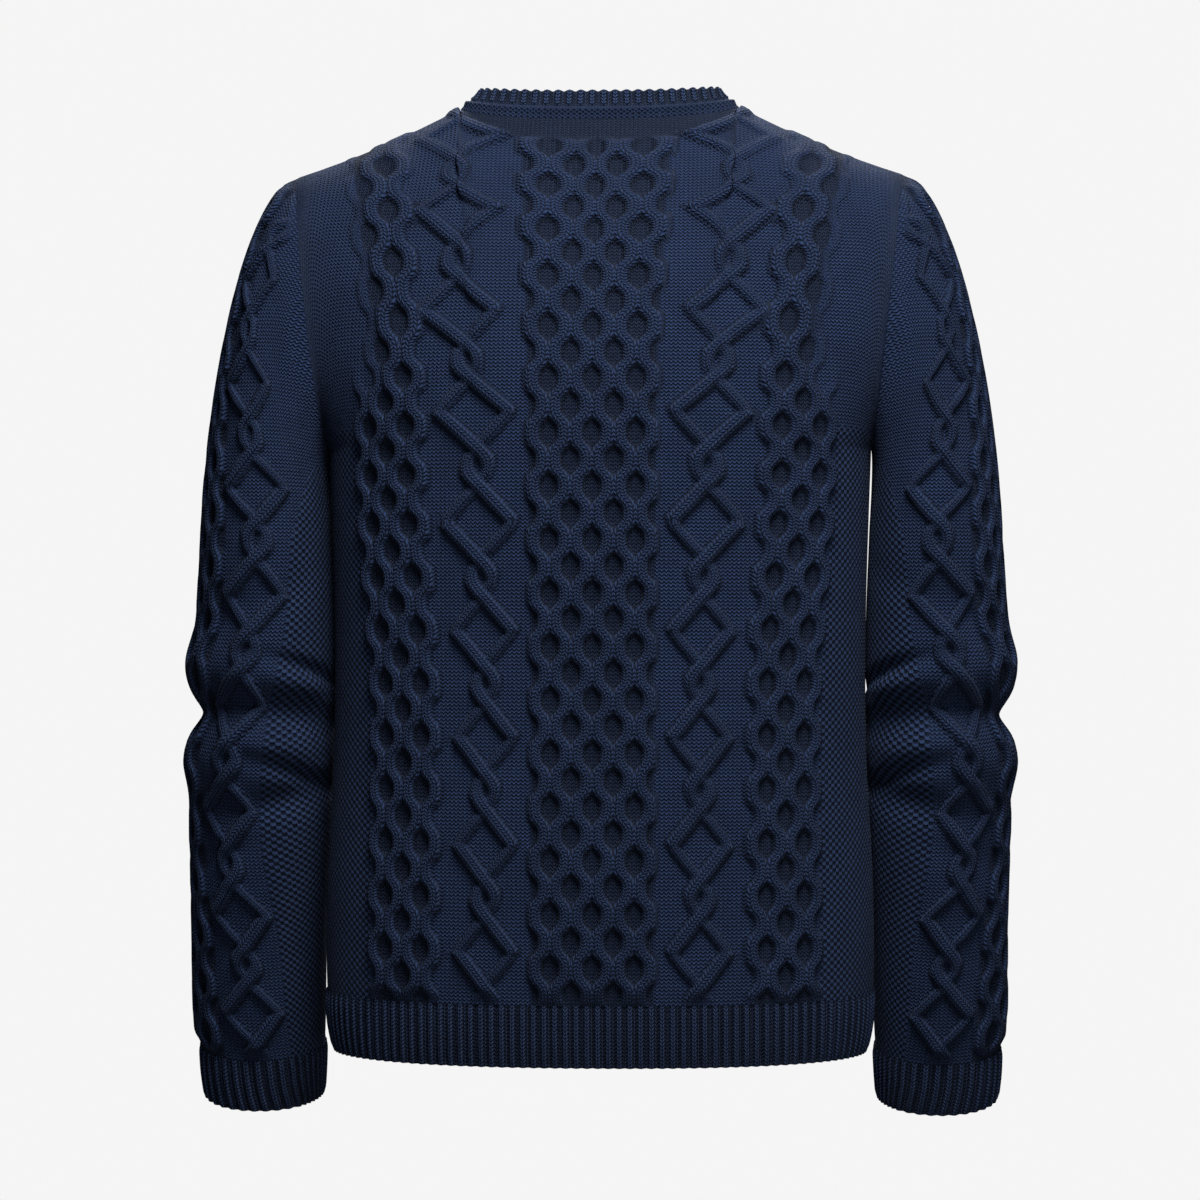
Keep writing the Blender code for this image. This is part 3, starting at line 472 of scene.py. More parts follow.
def strandMaps(strands, toward, fade):
    # a strand's level ends beside it, so that none is drawn where the nearest strand changes
    found, levels = {}, []
    for name in ("a", "b"):
        strand = strands[name]
        found["strand" + name.upper()] = (strand["across"] * toward, strand["along"])
        levels.append(strand["level"] * fade * (1 - smoothStep(1.6, 2.0, np.abs(strand["across"]))))
    found["levels"] = tuple(levels)
    return found


def strandHeights(strands):
    found = 0.0
    for name in ("a", "b"):
        away = np.abs(strands[name]["across"])
        crown = 1.0 - smoothStep(cable["crown"], cable["foot"], away)
        found = np.maximum(found, crown * strands[name]["level"])
    return cable["height"] * found


def realLengths(points, columns):
    # lengths over the plain cloth: across from the middle column, and from the first row on
    across = np.cumsum(np.linalg.norm(np.diff(points, axis=1, prepend=points[:, :1]), axis=2), axis=1)
    centre = int(np.argmin(np.abs(columns[0])))
    along = np.cumsum(np.linalg.norm(np.diff(points, axis=0, prepend=points[:1]), axis=2), axis=0)
    return across - across[:, centre:centre + 1], along


# Above the chest the cloth leans in, and the pattern's rows close up: height, row
diamondRows = np.array([(-0.2903, 18.0), (-0.2176, 22.0), (-0.1491, 26.0), (-0.0792, 30.0), (-0.0254, 34.0),
                        (0.0015, 36.2)])
sideRows = np.array([(-0.2928, 18.0), (-0.1770, 25.0), (-0.1345, 27.0), (-0.0960, 29.0), (-0.0616, 31.0),
                     (-0.0250, 33.4), (0.0, 35.0)])


def rowsByHeight(rows, heights, table):
    level = table[0, 1]
    return np.where(rows < level, rows, np.interp(heights, table[:, 0], table[:, 1]))


def bodyKnit(side, columns, rows):
    # the knitted relief of one body panel, for grids of flat columns and rows
    strands = emptyStrands(columns.shape)
    points = np.array([bodyPoints(side, row, columns[0]) for row in rows[:, 0]])
    level = points[..., 2]
    across, up = realLengths(points, columns)
    size = np.abs(columns)
    top = body["topRow"]
    toward = np.where(columns < -body["centreHalf"] - 0.003, -1.0, 1.0)
    settled = smoothStep(body["armpitRow"] + 3.5, body["armpitRow"] + 0.5, rows)
    begins = smoothStep(-0.25, 0.75, rows)
    sideLevel = {-2: begins, -1: begins, 0: begins * (0.35 + 0.65 * settled), 1: begins * settled}
    if side > 0:
        ends = 1 - smoothStep(top - 1.55, top - 0.95, rows)
        addHoneycomb(strands, columns, rows - cable["lead"], 0.0, -3, 3, begins * ends)
        middle = body["diamondAt"] + np.interp(rows, (21.0, 26.0, 30.0, 34.0), (0.0, 0.0080, 0.0035, 0.0))
        addDiamond(strands, size, rowsByHeight(rows, level, diamondRows), rows, middle, begins)
    else:
        closing = np.where(rows <= body["armpitRow"], rows,
                           body["armpitRow"] + (rows - body["armpitRow"]) * body["frontClosing"])
        fade = 1.0 - smoothStep(top - 6, top - 3, rows)
        addDiamond(strands, size, closing, rows, body["diamondAt"], begins * fade)
    edgeFade = 1 - smoothStep(top - 0.9, top, rows)
    sideSteps = rowsByHeight(rows, level, sideRows) if side > 0 else rows
    addHoneycomb(strands, size, sideSteps, body["sideCableAt"], -2, 2, sideLevel)
    onShoulder = smoothStep(-0.085, -0.030, level) * smoothStep(0.055, 0.085, size)
    edgeFade = edgeFade * (1 - 0.62 * onShoulder)
    heights = strandHeights(strands) * edgeFade
    moss = smoothStep(body["mossFrom"] - 0.001, body["mossFrom"] + 0.001, size)
    moss = moss * (1 - smoothStep(-0.232, -0.222, level))
    # the plain mask picks plain-stitch ground, and also paints shade in its hollows between the strands
    plain = np.zeros(columns.shape)
    if side > 0:
        inCentre = (size < body["centreHalf"] + 0.001).astype(float)
        plain = np.maximum(inCentre, smoothStep(top - 1.2, top - 1.1, rows) * (size < 0.066))
    reach = 0.005 + 0.016 * settled
    inSide = (size > body["sideCableAt"] - 0.020) & (size < body["sideCableAt"] + reach)
    plain = np.maximum(plain, inSide.astype(float))
    maps = {
        "ground": (across / cloth["wale"], up / cloth["course"]),
        **strandMaps(strands, toward, edgeFade),
        "kinds": (moss, plain),
    }
    return heights, maps


def plainMaps(columns, rows):
    far, none = np.full(columns.shape, 9.0), np.zeros(columns.shape)
    return {
        "ground": (columns / cloth["wale"], rows * cloth["row"] / cloth["course"]),
        "strandA": (far, none),
        "strandB": (far, none),
        "levels": (none, none),
        "kinds": (none, none),
    }


def lapRise(columns, lift):
    return lift * (1 - smoothStep(bandHalf, bandHalf + body["lapRamp"], np.abs(columns)))


def seatEdges(points, side, row, columns, mirror):
    half = cloth["seamGap"] / 2
    points = points.copy()
    atEdge = np.abs(columns) > edge - 1e-6
    onSeam = atEdge | (row > body["topRow"] - 0.01)
    points[onSeam, 1] = side * np.maximum(side * points[onSeam, 1], half)
    if row >= body["armpitRow"]:
        points[atEdge, 0] -= np.sign(columns[atEdge]) * half
    if side < 0:
        points[0 if abs(columns[0]) < abs(columns[-1]) else -1, 0] = mirror * (bandHalf + half)
    return points


# Shells: an outer face on a fine grid, a plain inner face on a coarse one, and rims between them

def gridCorners(points, maps, startVertex, closed):
    rows, columns = points.shape[:2]
    vertex = startVertex + np.arange(rows * columns).reshape(rows, columns)
    if closed:
        vertex = np.concatenate([vertex, vertex[:, :1]], axis=1)
    texture = {name: np.stack([np.broadcast_to(v, vertex.shape) for v in value], -1)
               for name, value in maps.items()}
    return vertex, texture


def rimFaces(first, second):
    # triangles between two borders, matched by their shares of the way along
    i = j = 0
    n, m = len(first), len(second)
    found = []
    while i < n - 1 or j < m - 1:
        if j == m - 1 or (i < n - 1 and (i + 1) * (m - 1) <= (j + 1) * (n - 1)):
            found.append((first[i], first[i + 1], second[j]))
            i += 1
        else:
            found.append((first[i], second[j + 1], second[j]))
            j += 1
    return found


def standFor(piece, node):
    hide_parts(node)
    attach(piece, "root")
    return piece


def innerGrid(low, high, firstRow, lastRow, count):
    columns = np.linspace(low, high, int(round((high - low) / cloth["innerGrid"])) + 1)
    rows = np.linspace(firstRow, lastRow, count)
    return columns, rows, *np.meshgrid(columns, rows)


def shellPiece(name, outer, outerMaps, inner, innerMaps, closed, material):
    sets = []
    start = corner = 0
    for points, maps in ((outer, outerMaps), (inner, innerMaps)):
        vertex, texture = gridCorners(points, maps, start, closed)
        ids = corner + np.arange(vertex.size).reshape(vertex.shape)
        sets.append((vertex, texture, ids))
        start += points.shape[0] * points.shape[1]
        corner += vertex.size
    cornerVertex = np.concatenate([s[0].ravel() for s in sets])
    faces = []
    for vertex, texture, ids in sets:
        quads = np.stack([ids[:-1, :-1], ids[:-1, 1:], ids[1:, 1:], ids[1:, :-1]], -1).reshape(-1, 4)
        faces += quads.tolist()
    outIds, inIds = sets[0][2], sets[1][2]
    for pick in (0, -1):
        faces += rimFaces(outIds[pick].tolist(), inIds[pick].tolist())
        if not closed:
            faces += rimFaces(outIds[:, pick].tolist(), inIds[:, pick].tolist())
    coords = np.concatenate([outer.reshape(-1, 3), inner.reshape(-1, 3)])
    flatCorners = np.array([c for face in faces for c in face])
    mesh = bpy.data.meshes.new(name)
    mesh.from_pydata(coords.tolist(), [], [cornerVertex[list(face)].tolist() for face in faces])
    for key in outerMaps:
        layer = mesh.uv_layers.new(name=key)
        table = np.concatenate([s[1][key].reshape(-1, 2) for s in sets])
        layer.data.foreach_set("uv", table[flatCorners].astype(np.float32).ravel())
    shape = bmesh.new()
    shape.from_mesh(mesh)
    bmesh.ops.recalc_face_normals(shape, faces=shape.faces[:])
    if shape.calc_volume(signed=True) < 0:
        bmesh.ops.reverse_faces(shape, faces=shape.faces[:])
    shape.to_mesh(mesh)
    shape.free()
    mesh.shade_smooth()
    border = np.zeros(len(coords), int)
    for mark, (vertex, texture, ids) in zip((1, 2), sets):
        for line in (vertex[0], vertex[-1]) + (() if closed else (vertex[:, 0], vertex[:, -1])):
            border[line] = mark
    ends = np.zeros(len(mesh.edges) * 2, int)
    mesh.edges.foreach_get("vertices", ends)
    ends = border[ends.reshape(-1, 2)]
    sharp = mesh.attributes.new("sharp_edge", "BOOLEAN", "EDGE")
    sharp.data.foreach_set("value", (ends[:, 0] == ends[:, 1]) & (ends[:, 0] > 0))
    mesh.materials.append(material)
    item = bpy.data.objects.new(name, mesh)
    bpy.context.scene.collection.objects.link(item)
    return item


# Knitting shaders: groups give heights and shades, and each material keeps its own shader

def newGroup(name, inputs, outputs):
    tree = bpy.data.node_groups.new(name, "ShaderNodeTree")
    for socketName, kind in inputs:
        tree.interface.new_socket(name=socketName, in_out="INPUT", socket_type="NodeSocket" + kind)
    for socketName, kind in outputs:
        tree.interface.new_socket(name=socketName, in_out="OUTPUT", socket_type="NodeSocket" + kind)
    return tree, tree.nodes.new("NodeGroupInput"), tree.nodes.new("NodeGroupOutput")


def plug(tree, socket, value):
    if isinstance(value, bpy.types.NodeSocket):
        tree.links.new(value, socket)
    else:
        socket.default_value = value


def calc(tree, operation, *values):
    node = tree.nodes.new("ShaderNodeMath")
    node.operation = operation
    for socket, value in zip(node.inputs, values):
        plug(tree, socket, value)
    return node.outputs[0]


def rampBetween(tree, value, low, high, fromValue=0.0, toValue=1.0):
    node = tree.nodes.new("ShaderNodeMapRange")
    node.interpolation_type = "SMOOTHSTEP"
    for name, item in (("Value", value), ("From Min", low), ("From Max", high), ("To Min", fromValue),
                       ("To Max", toValue)):
        plug(tree, node.inputs[name], item)
    return node.outputs["Result"]


def mixValues(tree, share, first, second):
    node = tree.nodes.new("ShaderNodeMix")
    node.data_type = "FLOAT"
    for socket, value in zip((node.inputs[0], node.inputs[2], node.inputs[3]), (share, first, second)):
        plug(tree, socket, value)
    return node.outputs[0]


def mixColours(tree, share, first, second):
    node = tree.nodes.new("ShaderNodeMix")
    node.data_type = "RGBA"
    for socket, value in zip((node.inputs[0], node.inputs[6], node.inputs[7]), (share, first, second)):
        plug(tree, socket, value)
    return node.outputs[2]


def makePlainStitch():
    # columns of V stitches: two legs of yarn lean away from the middle of each wale
    tree, into, out = newGroup("plainStitch", [("Wale", "Float"), ("Course", "Float")], [("Height", "Float")])
    local = calc(tree, "SUBTRACT", calc(tree, "FRACT", into.outputs["Wale"]), 0.5)
    away = calc(tree, "ABSOLUTE", local)
    leaning = calc(tree, "MULTIPLY_ADD", away, -1.5, into.outputs["Course"])
    turn = calc(tree, "MULTIPLY", calc(tree, "FRACT", leaning), math.pi)
    yarn = calc(tree, "POWER", calc(tree, "SINE", turn), 0.7)
    legs = calc(tree, "SINE", calc(tree, "MULTIPLY", away, 2 * math.pi))
    legs = calc(tree, "POWER", calc(tree, "MAXIMUM", legs, 0.0001), 0.5)
    tree.links.new(calc(tree, "MULTIPLY", yarn, legs), out.inputs["Height"])
    return tree


def makePurlStitch():
    # rows of small arcs, each row half a wale aside from the next
    tree, into, out = newGroup("purlStitch", [("Wale", "Float"), ("Course", "Float")], [("Height", "Float")])
    wave = calc(tree, "COSINE", calc(tree, "MULTIPLY", into.outputs["Wale"], 2 * math.pi))
    rise = calc(tree, "MULTIPLY_ADD", wave, 0.24, into.outputs["Course"])
    turn = calc(tree, "MULTIPLY", calc(tree, "FRACT", rise), math.pi)
    yarn = calc(tree, "POWER", calc(tree, "SINE", turn), 0.8)
    crown = calc(tree, "MULTIPLY_ADD", wave, 0.22, 0.78)
    tree.links.new(calc(tree, "MULTIPLY", yarn, crown), out.inputs["Height"])
    return tree


def makeMossStitch():
    # round purl bumps, set like the squares of one colour on a chess board
    tree, into, out = newGroup("mossStitch", [("Wale", "Float"), ("Course", "Float")], [("Height", "Float")])
    waves = [calc(tree, "COSINE", calc(tree, "MULTIPLY", into.outputs[name], math.pi))
             for name in ("Wale", "Course")]
    both = calc(tree, "MULTIPLY_ADD", calc(tree, "MULTIPLY", waves[0], waves[1]), 0.5, 0.5)
    tree.links.new(rampBetween(tree, both, 0.22, 0.80), out.inputs["Height"])
    return tree


def useGroup(tree, group, values, output):
    node = tree.nodes.new("ShaderNodeGroup")
    node.node_tree = group
    for name, value in values.items():
        plug(tree, node.inputs[name], value)
    return node.outputs[output] if output else node


knit = {
    "mossHeight": 1.5,
    "crownEnds": (0.62, 1.16),  # in strand half widths from its middle
    "footAt": 1.22,
    "footReach": (0.03, 0.36),
    "onStrand": (0.18, 0.50),  # heights between which the ground gives way to the strand
    "deepest": 0.06,  # the painted shade between two stitches
    # how much painted shadow darkens the foot of each strand
    "footShade": -0.55,
}


def makeKnitSurface(stitches):
    # picks the stitch of each place and the cable strand that lies on top there, and gives a painted shade
    # for the gaps between stitches, the feet of the strands and the hollows
    tree, into, out = newGroup(
        "knitSurface",
        [("Ground", "Vector"), ("Strand A", "Vector"), ("Strand B", "Vector"), ("Levels", "Vector"),
         ("Kinds", "Vector"), ("Edge Depth", "Float"), ("Hollow Shade", "Float"), ("Rib", "Float")],
        [("Height", "Float"), ("Shade", "Float")])
    parts = {}
    for name in ("Ground", "Strand A", "Strand B", "Levels", "Kinds"):
        split = tree.nodes.new("ShaderNodeSeparateXYZ")
        tree.links.new(into.outputs[name], split.inputs[0])
        parts[name] = split.outputs
    local = {"Wale": parts["Ground"][0], "Course": parts["Ground"][1]}
    names = ("purl", "moss", "plain")
    purl, moss, plain = (useGroup(tree, stitches[name], local, "Height") for name in names)
    ground = mixValues(tree, parts["Kinds"][1], purl, plain)
    ground = mixValues(tree, parts["Kinds"][0], ground, calc(tree, "MULTIPLY", moss, knit["mossHeight"]))
    crowns, looks, feet = [], [], []
    for name, level in (("Strand A", parts["Levels"][0]), ("Strand B", parts["Levels"][1])):
        across, along = parts[name][0], parts[name][1]
        away = calc(tree, "ABSOLUTE", across)
        crowns.append(calc(tree, "MULTIPLY", rampBetween(tree, away, *knit["crownEnds"], 1.0, 0.0), level))
        looks.append(useGroup(tree, stitches["plain"], {"Wale": across, "Course": along}, "Height"))
        # the foot beside each strand, where a painted shadow falls
        aside = calc(tree, "ABSOLUTE", calc(tree, "SUBTRACT", away, knit["footAt"]))
        foot = rampBetween(tree, aside, *knit["footReach"], 1.0, 0.0)
        feet.append(calc(tree, "MULTIPLY", foot, calc(tree, "MINIMUM", level, 1.0)))
    pick = calc(tree, "GREATER_THAN", crowns[0], crowns[1])
    top = calc(tree, "MAXIMUM", crowns[0], crowns[1])
    onStrand = rampBetween(tree, top, *knit["onStrand"])
    strand = mixValues(tree, into.outputs["Rib"], mixValues(tree, pick, looks[1], looks[0]), plain)
    fine = mixValues(tree, onStrand, ground, strand)
    height = calc(tree, "MULTIPLY_ADD", top, into.outputs["Edge Depth"], fine)
    tree.links.new(height, out.inputs["Height"])
    # painted shade: darker between stitches, along the strand feet and in the hollows of the plain ground
    foot = calc(tree, "MAXIMUM", feet[0], feet[1])
    foot = calc(tree, "MULTIPLY", foot, calc(tree, "SUBTRACT", 1.0, onStrand))
    deepest = knit["deepest"]
    shade = calc(tree, "MULTIPLY_ADD", calc(tree, "MINIMUM", fine, 1.0), 1.0 - deepest, deepest)
    shade = calc(tree, "MULTIPLY", shade, calc(tree, "MULTIPLY_ADD", foot, knit["footShade"], 1.0))
    hollowShade = calc(tree, "MULTIPLY", parts["Kinds"][1], calc(tree, "SUBTRACT", 1.0, onStrand))
    shade = calc(tree, "MULTIPLY", shade, calc(tree, "MULTIPLY_ADD", hollowShade, into.outputs["Hollow Shade"], 1.0))
    tree.links.new(shade, out.inputs["Shade"])
    return tree


def makeWoolColour():
    # a dyed wool: soft blotches and fine pale fibres, with painted shade that darkens the hollows between the
    # loops
    tree, into, out = newGroup(
        "woolColour",
        [("Place", "Vector"), ("Shade", "Float"), ("Dark", "Color"), ("Light", "Color"), ("Fibre", "Color")],
        [("Color", "Color")])
    blotch = tree.nodes.new("ShaderNodeTexNoise")
    blotch.inputs["Scale"].default_value = 38.0
    blotch.inputs["Detail"].default_value = 3.0
    fibre = tree.nodes.new("ShaderNodeTexNoise")
    fibre.inputs["Scale"].default_value = 1500.0
    fibre.inputs["Detail"].default_value = 2.0
    for node in (blotch, fibre):
        tree.links.new(into.outputs["Place"], node.inputs["Vector"])
    uneven = rampBetween(tree, blotch.outputs["Fac"], 0.3, 0.7, 0.90, 1.10)
    amount = calc(tree, "MULTIPLY", into.outputs["Shade"], uneven)
    base = mixColours(tree, amount, into.outputs["Dark"], into.outputs["Light"])
    pale = rampBetween(tree, fibre.outputs["Fac"], 0.60, 0.78, 0.0, 0.5)
    tree.links.new(mixColours(tree, pale, base, into.outputs["Fibre"]), out.inputs["Color"])
    return tree


wool = {
    # dark is the painted shade colour deep in the gaps and hollows; light and ribLight are the wool's own
    # colours
    "dark": (0.0012, 0.0026, 0.0075, 1.0),
    "light": (0.0195, 0.0350, 0.0870, 1.0),
    "ribLight": (0.0275, 0.0480, 0.1150, 1.0),
    "fibre": (0.0500, 0.0740, 0.1450, 1.0),
    "roughness": 0.92,
    "gloss": 0.08,
    "sheen": 0.035,
    "sheenTint": (0.55, 0.68, 1.0, 1.0),
    "stitchDepth": 0.0020,
    "edgeDepth": 1.1,
    # how strongly painted shade darkens the hollows of the plain ground and the rib valleys
    "cableHollowShade": -0.50,
    "ribHollowShade": -0.74,
    "ribDepth": 1.0,
}


def makeWool(name, groups, hollowShade, isRib, edgeDepth):
    made = bpy.data.materials.new(name)
    made.use_nodes = True
    tree = made.node_tree
    shader = tree.nodes["Principled BSDF"]
    shader.inputs["Roughness"].default_value = wool["roughness"]
    shader.inputs["Specular IOR Level"].default_value = wool["gloss"]
    shader.inputs["Sheen Weight"].default_value = wool["sheen"]
    shader.inputs["Sheen Roughness"].default_value = 0.45
    shader.inputs["Sheen Tint"].default_value = wool["sheenTint"]
    maps = {}
    for socketName in ("Ground", "Strand A", "Strand B", "Levels", "Kinds"):
        node = tree.nodes.new("ShaderNodeUVMap")
        node.uv_map = socketName[0].lower() + socketName[1:].replace(" ", "")
        maps[socketName] = node.outputs["UV"]
    maps.update({"Edge Depth": edgeDepth, "Hollow Shade": hollowShade, "Rib": isRib})
    surface = useGroup(tree, groups["surface"], maps, None)
    place = tree.nodes.new("ShaderNodeTexCoord")
    colour = useGroup(tree, groups["colour"], {
        "Place": place.outputs["Object"], "Shade": surface.outputs["Shade"], "Dark": wool["dark"],
        "Light": wool["ribLight" if isRib else "light"], "Fibre": wool["fibre"]}, "Color")
    tree.links.new(colour, shader.inputs["Base Color"])
    bump = tree.nodes.new("ShaderNodeBump")
    bump.inputs["Strength"].default_value = 1.0
    bump.inputs["Distance"].default_value = wool["stitchDepth"]
    tree.links.new(surface.outputs["Height"], bump.inputs["Height"])
    tree.links.new(bump.outputs["Normal"], shader.inputs["Normal"])
    return made


stitches = {"plain": makePlainStitch(), "purl": makePurlStitch(), "moss": makeMossStitch()}
groups = {"surface": makeKnitSurface(stitches), "colour": makeWoolColour()}
cableWool = makeWool("navy_cable_wool", groups, wool["cableHollowShade"], 0.0, wool["edgeDepth"])
ribWool = makeWool("navy_rib_wool", groups, wool["ribHollowShade"], 1.0, wool["ribDepth"])
print("wool shaders ready")


# Body panels

def evenColumns(low, high, fixed):
    count = int(round((high - low) / cloth["grid"]))
    found = np.linspace(low, high, count + 1)
    for place in fixed:
        if low < place < high:
            found[np.argmin(np.abs(found - place))] = place
    return found


def neckCorner(side):
    columns = np.linspace(0.0, body["sideCableAt"], 2001)
    return float(columns[np.argmax(topPoints(side, columns)[1] >= 1.0)])


def bodyFace(side, columns, rows, heights, lift, mirror):
    lines = []
    for row, line in zip(rows, heights):
        normals = bodyNormals(side, row, columns)
        points = bodyPoints(side, row, columns) + normals * (lapRise(columns, lift) + line)[:, None]
        lines.append(seatEdges(points, side, row, columns, mirror))
    return np.array(lines)


def softWaves(columns, rows, amount):
    # long shallow waves, so that the cloth doesn't look pressed
    x, z = columns, rows * cloth["row"]
    wave = (np.sin(21.0 * x + 7.0 * z + 0.6) * np.sin(9.0 * z + 1.3)
            + 0.6 * np.sin(37.0 * x - 11.0 * z + 2.1) * np.sin(17.0 * z + 0.4)
            + 0.4 * np.sin(15.0 * x + 29.0 * z + 4.0))
    inside = smoothStep(0.0, 3.0, rows) * (1 - smoothStep(30.0, 34.0, rows))
    inside = inside * (1 - smoothStep(0.18, 0.235, np.abs(columns)))
    return amount * wave * inside


def bodyPanel(name, node, side, low, high, lift, mirror):
    corner = neckCorner(side)
    columns = evenColumns(low, high, (corner, -corner, 0.0))
    count = int(round(body["topRow"] * cloth["row"] / cloth["grid"]))
    rows = np.linspace(0.0, body["topRow"], count + 1)
    gridK, gridR = np.meshgrid(columns, rows)
    heights, maps = bodyKnit(side, gridK, gridR)
    waves = softWaves(gridK, gridR, cloth["waves"])
    if side < 0:
        waves = waves * smoothStep(bandHalf, 0.05, np.abs(gridK))
    outer = bodyFace(side, columns, rows, heights + waves, lift, mirror)
    innerColumns, innerRows, innerK, innerR = innerGrid(low, high, 0.0, body["topRow"], cloth["innerRows"])
    inner = bodyFace(side, innerColumns, innerRows, np.full(innerK.shape, -cloth["wall"]), lift, mirror)
    for face in (outer, inner):
        face[0, :, 2] += cloth["seamGap"] / 2
    piece = shellPiece(name, outer, maps, inner, plainMaps(innerK, innerR), False, cableWool)
    return standFor(piece, node)


backPiece = bodyPanel("cable_back", "back_panel", 1, -edge, edge, 0.0, 1.0)
print("back panel made: %d faces" % len(backPiece.data.polygons))
frontLeft = bodyPanel("cable_front_left", "front_left_panel", -1, bandHalf, edge, lapLift, 1.0)
frontRight = bodyPanel("cable_front_right", "front_right_panel", -1, -edge, -bandHalf,
                       -lapLift, -1.0)
print("front panels made")

# Ribs: knit wales stand up as crests and purl wales fall back between them
rib = {
    "pitch": 0.0072,
    "crest": 0.0022,
    "valley": -0.0006,
    "crestHalf": 0.27,  # in rib pitches
    "samples": 8,
    "rows": 19,
    "innerRows": 6,
    "endShare": 0.55,  # how high the ribs stand where they begin and end
    "endReach": 0.35,
    "power": 0.8,
}


def ribProfile(turns, low, high):
    # turns is the place in rib pitches, with a crest at each whole number
    return low + (high - low) * (0.5 + 0.5 * np.cos(2 * np.pi * turns)) ** rib["power"]


def ribEnds(inside):
    # the ribs draw in where the piece begins and ends
    return rib["endShare"] + (1 - rib["endShare"]) * inside


def ribMaps(turns, length):
    maps = plainMaps(turns, turns)
    maps["ground"] = (2 * turns + 0.5, length / cloth["course"])
    aside = turns - np.round(turns)
    maps["strandA"] = (aside / rib["crestHalf"], length / cloth["course"])
    maps["levels"] = (np.ones(turns.shape), np.zeros(turns.shape))
    # the plain share also paints shade in the valleys between the crests
    maps["kinds"] = (np.zeros(turns.shape), np.ones(turns.shape))
    return maps


def hemPiece(name, node, side, low, high, lift, mirror):
    ribs = int(round((high - low) / rib["pitch"]))
    columns = np.linspace(low, high, ribs * rib["samples"] + 1)
    rows = np.linspace(hemRow, 0.0, rib["rows"])
    gridK, gridR = np.meshgrid(columns, rows)
    turns = (gridK - low) / (high - low) * ribs + 0.5
    reach = rib["endReach"]
    inside = smoothStep(hemRow, hemRow + reach, gridR) * (1 - smoothStep(-reach, 0.0, gridR))
    heights = ribProfile(turns, rib["valley"], rib["crest"]) * ribEnds(inside)
    outer = bodyFace(side, columns, rows, heights, lift, mirror)
    innerColumns, innerRows, innerK, innerR = innerGrid(low, high, hemRow, 0.0, rib["innerRows"])
    inner = bodyFace(side, innerColumns, innerRows, np.full(innerK.shape, -cloth["wall"]), lift, mirror)
    for face, at in ((outer, columns), (inner, innerColumns)):
        face[-1, :, 2] -= cloth["seamGap"] / 2
        if side < 0:
            end = int(np.argmin(np.abs(at)))
            shift = np.sign(face[0, end, 0]) * (bandHalf + cloth["seamGap"] / 2) - face[:, end:end + 1, 0]
            face[..., 0] += shift * (1 - smoothStep(0.0, 0.02, np.abs(at) - bandHalf))
    piece = shellPiece(name, outer, ribMaps(turns, gridR * cloth["row"]), inner,
                       plainMaps(innerK, innerR), False, ribWool)
    return standFor(piece, node)


backHem = hemPiece("rib_hem_back", "back_hem_rib", 1, -edge, edge, 0.0, 1.0)
frontLeftHem = hemPiece("rib_hem_front_left", "front_left_hem_rib", -1, bandHalf, edge, lapLift, 1.0)
frontRightHem = hemPiece("rib_hem_front_right", "front_right_hem_rib", -1, -edge, -bandHalf, -lapLift, -1.0)
print("hem ribs made")


# Sleeves. Rows run down from the armhole; the flat column 0 is the outer line and the back is positive.
sleeve = {
    "capRow": 15,
    "cuffRow": 35,
    "half": 0.150,
    "wales": 96,
    "diamondAt": 0.068,
    "plainFrom": 0.093,
    "cuffRibs": 36,
    "cuffRows": 17,
    "innerColumns": 36,
    "drift": 0.0035,
    "driftFrom": -0.34,
    "driftTo": -0.60,
}

# row, height, outer x, inner x, middle y, half depth, tilt in degrees, pattern shift to the back;
# the inner x is up to 1.4 mm nearer the body than in the part's source, again to close the slits
sleeveSections = np.array([
    (15.0, -0.302, 0.2762, 0.1878, -0.002, 0.0650, 0.0, 0.018),
    (18.0, -0.357, 0.2800, 0.1859, -0.006, 0.0610, 2.0, 0.012),
    (22.0, -0.430, 0.2840, 0.1863, -0.014, 0.0560, 6.0, -0.004),
    (26.0, -0.501, 0.2862, 0.1898, -0.027, 0.0520, 10.0, -0.009),
    (30.0, -0.572, 0.2860, 0.1940, -0.042, 0.0490, 12.0, 0.000),
    (34.0, -0.643, 0.2868, 0.1965, -0.057, 0.0460, 12.0, 0.004),
    (35.0, -0.661, 0.2862, 0.1975, -0.061, 0.0440, 12.0, 0.004),
    (36.0, -0.680, 0.2858, 0.1985, -0.065, 0.0425, 12.0, 0.004),
    (37.1, -0.699, 0.2840, 0.2000, -0.069, 0.0400, 12.0, 0.004),
])

# share of the armhole from the shoulder down, then how the cap cloth leaves and arrives
capPulls = np.array([
    (0.00, 0.037, 0.000, -0.028, -0.004, 0.000, 0.110),
    (0.25, 0.040, 0.010, -0.022, -0.003, 0.003, 0.090),
    (0.50, 0.028, 0.010, -0.034, 0.000, 0.004, 0.060),
    (0.75, 0.011, 0.005, -0.022, 0.000, 0.002, 0.034),
    (1.00, 0.0012, 0.000, -0.018, 0.0006, 0.000, 0.018),
])

